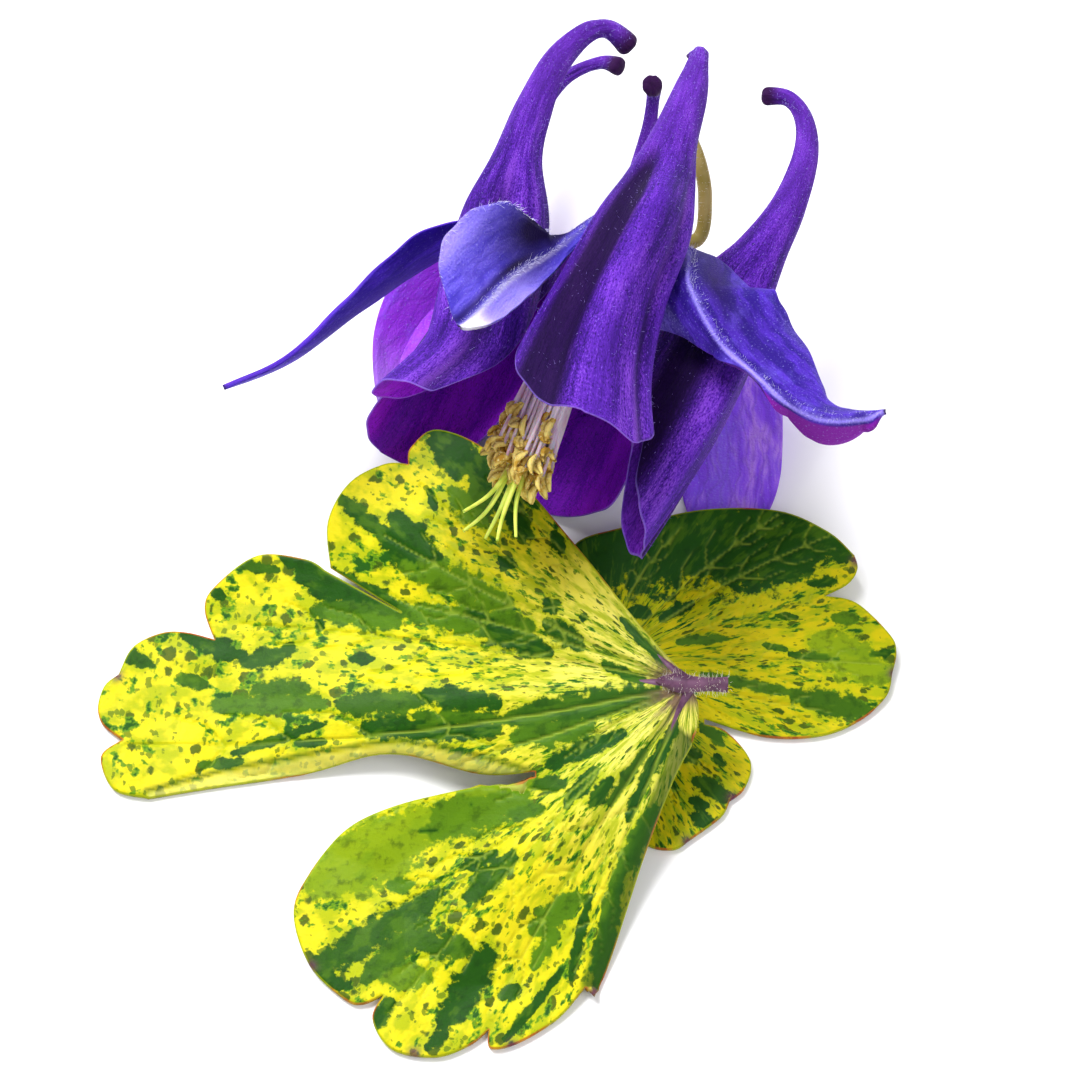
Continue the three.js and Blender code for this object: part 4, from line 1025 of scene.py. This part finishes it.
def leaf_veins(leaf):
    """Straight pieces of the veins: bent main veins from the middle and side veins off them."""
    starts, ends, strength = [], [], []
    for k, (direction, length, bend) in enumerate(leaf["veins"]):
        t = np.linspace(0, 1, 15)
        way = np.radians(direction - bend * (1 - t))
        line = np.stack([np.cos(way), np.sin(way)], -1) * (length * t)[:, None]
        starts.append(line[:-1])
        ends.append(line[1:])
        strength.append(1 - 0.6 * t[:-1])
        for m, share in enumerate((0.42, 0.56, 0.7, 0.82)):
            for turn in (-1, 1):
                angle = np.radians(direction + turn * (34 + 7 * ((k + m) % 3)))
                ways = angle - np.array([0, turn * np.radians(28)])
                steps = 0.5 * length * (0.2 - 0.03 * m) * np.stack([np.cos(ways), np.sin(ways)], 1)
                root = through(line, np.array([share * 14.0]))
                side = np.concatenate([root, root + np.cumsum(steps, 0)])
                starts.append(side[:-1])
                ends.append(side[1:])
                strength.append(np.array([0.5, 0.3]))
    return np.concatenate(starts), np.concatenate(ends), np.concatenate(strength)


def beyond_line(points, line):
    """Distance to a line, and 1 for points to the right of it, walking along it, and within its
    length."""
    starts, ends = line[:-1], line[1:]
    off, best, share = nearest(points, starts, ends)
    way = (ends - starts)[best]
    gap = points - starts[best]
    right = way[:, 0] * gap[:, 1] - way[:, 1] * gap[:, 0] < 0
    inside = ((share > 0.001) | (best > 0)) & ((share < 0.999) | (best < len(starts) - 1))
    return off, (right & inside).astype(float)


def leaf_creases(leaf, plan, edge):
    """How far the margin bends down beyond the creases, how much of its pale underside each point
    shows, and how much painted shade of darker green it gets along the crease lines and on the
    strips bent down beyond the folds."""
    drop, crease_shade, turned, fold_shade = (np.zeros(len(plan)) for _ in range(4))
    for kind in ("turned", "folds"):
        for line in leaf[kind]:
            off, beyond = beyond_line(plan, np.array(line))
            beyond = beyond * (edge < BENT_MARGIN) * (off < BENT_MARGIN)
            # a thin line of painted shade along each crease
            crease_shade = np.maximum(crease_shade, hump(off, 0, 0.16))
            drop = drop + 0.8 * beyond * rise(off, 0, 1.1)
            if kind == "turned":
                turned = np.maximum(turned, 0.45 * beyond * rise(off, 0.1, 0.15))
            else:
                # painted shade on the strip that bends down beyond a fold
                fold_shade = np.maximum(fold_shade, 0.75 * beyond)
    return drop, turned, np.maximum(fold_shade, 0.8 * crease_shade)


def leaf_green(leaf, plan):
    """How deep each point lies in a stroke of green, and the tone of that stroke."""
    patch, tone = np.full(len(plan), -1.5), np.ones(len(plan))
    for stroke in np.array(leaf["strokes"]):
        off, _, along = nearest(plan, stroke[None, 0:2], stroke[None, 2:4])
        field = 1 - off / (stroke[4] * (1.15 - 0.5 * (2 * along - 1) ** 2))
        tone = np.where(field > patch, stroke[5], tone)
        patch = np.maximum(patch, field)
    return patch, tone


def blade_shell(middle, triangles, thick):
    """Closed sheet: a surface of triangles moved half its thickness either way, and its rim."""
    a, b, c = (middle[triangles[:, k]] for k in range(3))
    normal = np.zeros(middle.shape)
    for k in range(3):
        np.add.at(normal, triangles[:, k], np.cross(b - a, c - a))
    offset = unit(normal) * thick / 2
    points = np.concatenate([middle + offset, middle - offset])
    ways = np.concatenate([triangles[:, [k, (k + 1) % 3]] for k in range(3)])
    back = set(map(tuple, ways[:, ::-1].tolist()))
    start, end = np.array([w for w in map(tuple, ways.tolist()) if w not in back]).T
    count = len(middle)
    sides = np.stack([end, start, start + count, end + count], -1)
    return points, outward(points, [triangles, triangles[:, ::-1] + count, sides])


def make_leaf(name, leaf, thick, spacing, material, slot):
    """A leaf blade: the plan lifted to the height of the lie, grooved along its veins, bent down
    beyond its creases and given a thickness."""
    outline = leaf_outline(leaf["margin"])
    plan, triangles = leaf_plan(outline, spacing)
    edge = nearest(plan, outline, np.roll(outline, -1, 0))[0]
    direction, distance = leaf_polar(leaf, plan)
    starts, ends, strengths = leaf_veins(leaf)
    to_vein, best, _ = nearest(plan, starts, ends)
    strength = strengths[best]
    vein = hump(to_vein, 0, 0.06 + 0.09 * strength) * (0.4 + 0.6 * strength)
    drop, turned, fold_shade = leaf_creases(leaf, plan, edge)
    relief = 0.1 * bumps(plan[:, 0] / 2.2, plan[:, 1] / 2.2, 5) - 0.1 * vein
    height = leaf_height(leaf, direction, distance)
    height = height + rise(edge, 0, 1.5) * relief * rise(distance, 0, 4) - drop
    height = np.maximum(height, thick / 2 + 0.02)
    middle = np.concatenate([plan, height[:, None]], 1) + np.array([*leaf["place"], 0]) - MIDDLE
    to_tip = np.linalg.norm(plan[:, None] - np.array(leaf["tips"]), axis=-1).min(1)
    purple = np.max([0.9 * rise(distance, 1.9, -1.4), hump(to_tip, 0, 0.38),
                     0.85 * smooth(vein * 1.6) * rise(distance, 4.2, -3)], axis=0)
    patch, tone = leaf_green(leaf, plan)
    facts = dict(fan=np.stack([np.radians(direction) * 22, distance, distance * 0], -1),
                 plan=np.concatenate([plan, plan[:, :1] * 0], 1), patch=patch, tone=tone,
                 fold_shade=fold_shade, turned=turned, vein=vein, edge=edge, purple=purple,
                 middle=rise(distance, 16, -14))
    piece = make_piece(name, *blade_shell(middle, triangles, thick), material, slot,
                       **{key: np.concatenate([v, v]) for key, v in facts.items()})
    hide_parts(name)


# ---- settings, operators and panel ----


def hex_setting(name, description, default):
    """A colour that the user gives as sRGB hex."""
    return bpy.props.StringProperty(name=name, description=description, default=default)


def length_setting(name, description, default):
    """A length that the user gives."""
    return bpy.props.FloatProperty(name=name, description=description, default=default,
                                   unit="LENGTH")


class ColumbineFlower(bpy.types.PropertyGroup):
    """Sizes and colours of the flower."""
    petal_wall: length_setting("Petal wall", "Thickness of a petal", 0.35 * MM)
    sepal_thick: length_setting("Sepal thickness", "Thickness of a sepal", 0.35 * MM)
    filaments: bpy.props.IntProperty(
        name="Filaments", description="How many stamens the bundle has", default=116)
    petal_violet: hex_setting("Petal violet", "Petal colour in full light", "#511f9e")
    petal_shade: hex_setting("Petal shade", "Petal colour between the veins", "#290a63")
    petal_light: hex_setting("Petal light", "Petal colour along the veins", "#8044c6")


class ColumbineLeaves(bpy.types.PropertyGroup):
    """Sizes and colours of the leaflets."""
    thick: length_setting("Blade thickness", "Thickness of a leaf blade", 0.35 * MM)
    spacing: length_setting("Mesh spacing", "Distance between points of a blade", 0.22 * MM)
    yellow: hex_setting("Yellow", "Leaf colour without green", "#d2c614")
    cream: hex_setting("Pale yellow", "Leaf colour near the stalk", "#e4dd74")


class ColumbineStage(bpy.types.PropertyGroup):
    """The table, the light and the camera."""
    distance: length_setting("Camera distance", "From the camera to the middle of the group", 0.35)
    elevation: bpy.props.FloatProperty(
        name="Camera elevation", description="Height of the camera above the horizon",
        default=np.radians(70.0), subtype="ANGLE", unit="ROTATION")
    table: hex_setting("Table", "Colour of the table top", "#fbfbfd")


class COLUMBINE_OT_petals(bpy.types.Operator):
    """Make the five spurred petals"""
    bl_idname = "columbine.petals"
    bl_label = "Petals"

    def execute(self, context):
        settings = context.scene.columbine_flower
        material = petal_tissue(settings)
        pale = plain_tissue("pale petal hair", "#b9a8ff", "#8f7ce0", 0.6, HAIR_BLOTCHES)
        count = 1300
        for name, petal in PETALS.items():
            grid = make_petal(name, petal, settings.petal_wall / MM, material)
            random = np.random.default_rng(petal["angle"])
            row = random.integers(10, len(grid) - 2, count)
            column = random.integers(0, PETAL_COLUMNS, count)
            body = hairs_on(grid, row, column, (0.07, 0.2), 0.009, random)
            make_piece(name + "_hairs", *body, pale, "petal")
        return {"FINISHED"}


class COLUMBINE_OT_sepals(bpy.types.Operator):
    """Make the five sepals and the hairs on their keels and margins"""
    bl_idname = "columbine.sepals"
    bl_label = "Sepals"

    def execute(self, context):
        settings = context.scene.columbine_flower
        material = sepal_tissue()
        white = plain_tissue("white hair", "#e9e6ff", "#c9c6f4", 0.6, HAIR_BLOTCHES)
        for name, sepal in SEPALS.items():
            grid = make_sepal(name, sepal, settings.sepal_thick / MM, material)
            if name in ("sepal_front_left", "sepal_right"):
                self.keel_hairs(name, grid, white)
        return {"FINISHED"}

    def keel_hairs(self, name, grid, material):
        """Short stiff hairs that stand off the keel, densest near the root."""
        random = np.random.default_rng(len(name))
        count = 1300 if name == "sepal_front_left" else 750
        row = (random.beta(1.2, 1.7, count) * (SEPAL_ROWS - 4) + 2).astype(int)
        column = SEPAL_STRIPS + random.normal(0, 1.1, count)
        column = np.clip(column, SEPAL_STRIPS - 4, SEPAL_STRIPS + 4).astype(int)
        if name == "sepal_front_left":
            margin = random.uniform(0, 1, count) < 0.2
            column[margin] = random.integers(0, 2, margin.sum())
        body = hairs_on(grid, row, column, (0.18, 0.45), 0.015, random)
        make_piece(name + "_hairs", *body, material, "sepal")


class COLUMBINE_OT_stamens(bpy.types.Operator):
    """Make the bundle of filaments with its anthers"""
    bl_idname = "columbine.stamens"
    bl_label = "Stamens"

    def execute(self, context):
        count = context.scene.columbine_flower.filaments
        random = np.random.default_rng(3)
        paths = filament_paths(count, random)
        placed = in_column(paths)
        radii = np.full((count, FILAMENT_RINGS), 0.14) * np.linspace(1.1, 0.8, FILAMENT_RINGS)
        lilac = plain_tissue("lilac filament", "#fbe4ec", "#e8c6d4", 0.5, 400, 0.45)
        make_piece("filaments", *tubes(placed, radii, 8), lilac, "stamens")
        tops = paths[:, -1]
        ways = in_column(tops + np.array([0, 0, 1.0])) - in_column(tops)
        outwards = in_column(tops * np.array([1, 1, 0])) - in_column(tops * 0)
        ways = ways + 0.5 * outwards * random.uniform(-0.4, 1, (count, 1))
        ways = ways + random.normal(0, 0.25, (count, 3))
        points, faces, groove = anther_bodies(placed[:, -1] - 0.3 * unit(ways), ways, random)
        piece = make_piece("anthers", points, faces, anther_skin(), "stamens", groove=groove)
        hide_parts("stamens")
        return {"FINISHED"}


class COLUMBINE_OT_pistil(bpy.types.Operator):
    """Make the five carpels with their spreading styles"""
    bl_idname = "columbine.pistil"
    bl_label = "Pistil"

    def execute(self, context):
        paths, radii = [], []
        for angle, spread, length in STYLES:
            rows = [[0.35, COLUMN_START, 0.4], [0.45, 5, 0.42], [0.4, 11, 0.36], [0.5, 16, 0.2],
                    [spread * 0.45, length - 2.2, 0.145], [spread, length, 0.1]]
            out, along, radius = evenly(rows, 60).T
            a = np.radians(angle) + 0.25 * rise(along, 14, 8)
            sway = COLUMN_SWAY * rise(along, 0, 8.5)
            paths.append(np.stack([out * np.cos(a), out * np.sin(a) - sway, along], -1))
            radii.append(radius)
        skin = plain_tissue("green style", "#dcea62", "#b4ca40", 0.4, 500, 0.2)
        body = tubes(in_column(np.array(paths)), np.array(radii), 12)
        piece = make_piece("styles", *body, skin, "pistil")
        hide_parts("pistil")
        return {"FINISHED"}


class COLUMBINE_OT_stalk(bpy.types.Operator):
    """Make the hooked flower stalk with its receptacle and fine hairs"""
    bl_idname = "columbine.stalk"
    bl_label = "Stalk"

    def execute(self, context):
        skin = plain_tissue("olive stalk", "#8a7a34", "#a08c50", 0.5, 500, 0.1)
        fine = evenly(STALK_PATH, 90)
        path = in_flower(fine[:, :3], 0)
        turn = np.linspace(0, 2 * np.pi, 40, endpoint=False)
        out, along = evenly(RECEPTACLE, 30).T[..., None]
        cup = np.stack([out * np.cos(turn), out * np.sin(turn), along + turn * 0], -1)
        body = joined(tubes(path[None], fine[None, :, 3], 16), ring_bodies(in_flower(cup, 0)[None]))
        piece = make_piece("flower_stalk", *body, skin, "stalk")
        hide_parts("stalk")
        random = np.random.default_rng(8)
        count = 500
        at = random.integers(8, 88, count)
        ways = unit(random.normal(0, 1, (count, 3)))
        forward = unit(np.gradient(path, axis=0))[at]
        ways = unit(ways - (ways * forward).sum(1, keepdims=True) * forward)
        roots = path[at] + ways * fine[at, 3:4] * 0.95
        body = hairs(roots, ways, random.uniform(0.12, 0.3, count), 0.01, 0.2, 5)
        hair = plain_tissue("pale hair", "#f6f2e0", "#e6dcc0", 0.6, HAIR_BLOTCHES)
        make_piece("stalk_hairs", *body, hair, "stalk")
        return {"FINISHED"}


class COLUMBINE_OT_leaves(bpy.types.Operator):
    """Make the two leaflets and the cut stalk of the front one"""
    bl_idname = "columbine.leaves"
    bl_label = "Leaflets"

    def execute(self, context):
        settings = context.scene.columbine_leaves
        thick, spacing = settings.thick / MM, settings.spacing / MM
        front = leaf_tissue("front leaf tissue", settings.yellow, settings.cream)
        back = leaf_tissue("back leaf tissue", "#c6b806", "#c6b806")
        leaf = LEAVES["leaflet_front"]
        make_leaf("leaflet_front", leaf, thick, spacing, front, "leaf_front")
        make_leaf("leaflet_back", LEAVES["leaflet_back"], thick, spacing, back, "leaf_back")
        place = np.array([*leaf["place"], 0]) - MIDDLE
        fine = evenly(LEAF_STALK, 50)
        path = fine[:, :3] + place
        roots = np.stack([evenly(root, 50) for root in LEAF_ROOTS])
        lie = leaf_height(leaf, *leaf_polar(leaf, roots[..., :2].reshape(-1, 2)))
        veins = np.concatenate([roots[..., :2], lie.reshape(-1, 50, 1) - 0.05], -1) + place
        body = joined(tubes(path[None], fine[None, :, 3], 20), tubes(veins, roots[..., 2], 10))
        purple = plain_tissue("purple leaf stalk", "#4e2c46", "#6e4864", 0.5, 700, 0.1)
        make_piece("leaf_stalk", *body, purple, "leaf_front")
        random = np.random.default_rng(9)
        count = 260
        at = random.integers(6, 50, count)
        ways = unit(random.normal(0, 1, (count, 3)) * np.array([0.25, 1, 1]))
        roots = path[at] + ways * fine[at, 3:4] * 0.95
        body = hairs(roots, ways, random.uniform(0.2, 0.5, count), 0.011, 0.15, 6)
        hair = plain_tissue("leaf hair", "#fbf8e8", "#efe8cc", 0.6, HAIR_BLOTCHES)
        make_piece("leaf_stalk_hairs", *body, hair, "leaf_front")
        return {"FINISHED"}


class COLUMBINE_OT_stage(bpy.types.Operator):
    """Make the table, the soft light and the camera"""
    bl_idname = "columbine.stage"
    bl_label = "Stage"

    def execute(self, context):
        settings = context.scene.columbine_stage
        scene = context.scene
        scene.view_settings.view_transform = "Standard"
        lens = bpy.data.cameras.new("camera")
        lens.sensor_width, lens.lens = 36, 175
        lens.clip_start, lens.clip_end = 0.01, 10
        back = Vector((0, -np.cos(settings.elevation), np.sin(settings.elevation)))
        target = Vector(tuple(-MIDDLE * MM))
        scene.camera = self.put("camera", lens, target + back * settings.distance, back)
        world = bpy.data.worlds.new("studio")
        scene.world = world
        world.use_nodes = True
        light = world.node_tree.nodes["Background"].inputs
        light["Color"].default_value = linear("#fbfaf9")
        light["Strength"].default_value = 0.52
        for name, place, size, power in (("key light", (-0.2, 0.3, 0.5), 0.28, 6.0),
                                         ("fill light", (0.3, -0.2, 0.45), 0.4, 1.1)):
            lamp = bpy.data.lights.new(name, "AREA")
            lamp.size, lamp.energy = size, power
            self.put(name, lamp, Vector(place), Vector(place))
        mesh = bpy.data.meshes.new("table_top")
        corners = [(-2, -2, 0), (2, -2, 0), (2, 2, 0), (-2, 2, 0)]
        mesh.from_pydata(corners, [], [(0, 1, 2, 3)])
        mesh.materials.append(Finish("matt white table", Roughness=0.6, Specular_IOR_Level=0.2,
                                     Base_Color=linear(settings.table)).material)
        table = bpy.data.objects.new("table_top", mesh)
        scene.collection.objects.link(table)
        return {"FINISHED"}

    def put(self, name, data, place, back):
        """A camera or lamp at its place, with its back this way."""
        thing = bpy.data.objects.new(name, data)
        thing.location = place
        thing.rotation_mode = "QUATERNION"
        thing.rotation_quaternion = (-back).to_track_quat("-Z", "Y")
        bpy.context.scene.collection.objects.link(thing)
        return thing


class COLUMBINE_PT_panel(bpy.types.Panel):
    """Lists the pieces and their settings"""
    bl_idname = "COLUMBINE_PT_panel"
    bl_label = "Columbine"
    bl_space_type = "VIEW_3D"
    bl_region_type = "UI"
    bl_category = "Columbine"

    def draw(self, context):
        for operator in OPERATORS:
            self.layout.operator(operator.bl_idname)
        for key in GROUPS:
            group = getattr(context.scene, key)
            for setting in group.__annotations__:
                self.layout.prop(group, setting)


OPERATORS = (COLUMBINE_OT_stage, COLUMBINE_OT_petals, COLUMBINE_OT_sepals, COLUMBINE_OT_stamens,
             COLUMBINE_OT_pistil, COLUMBINE_OT_stalk, COLUMBINE_OT_leaves)
GROUPS = {"columbine_flower": ColumbineFlower, "columbine_leaves": ColumbineLeaves,
          "columbine_stage": ColumbineStage}


def register():
    """Add the settings, operators and panel to Blender."""
    for kind in (*GROUPS.values(), *OPERATORS, COLUMBINE_PT_panel):
        bpy.utils.register_class(kind)
    for key, group in GROUPS.items():
        setattr(bpy.types.Scene, key, bpy.props.PointerProperty(type=group))


def unregister():
    """Take them out again."""
    for key in GROUPS:
        delattr(bpy.types.Scene, key)
    for kind in (COLUMBINE_PT_panel, *OPERATORS[::-1], *GROUPS.values()):
        bpy.utils.unregister_class(kind)


def main():
    """Build everything."""
    register()
    for operator in OPERATORS:
        group, name = operator.bl_idname.split(".")
        getattr(getattr(bpy.ops, group), name)()


if __name__ == "__main__":
    main()
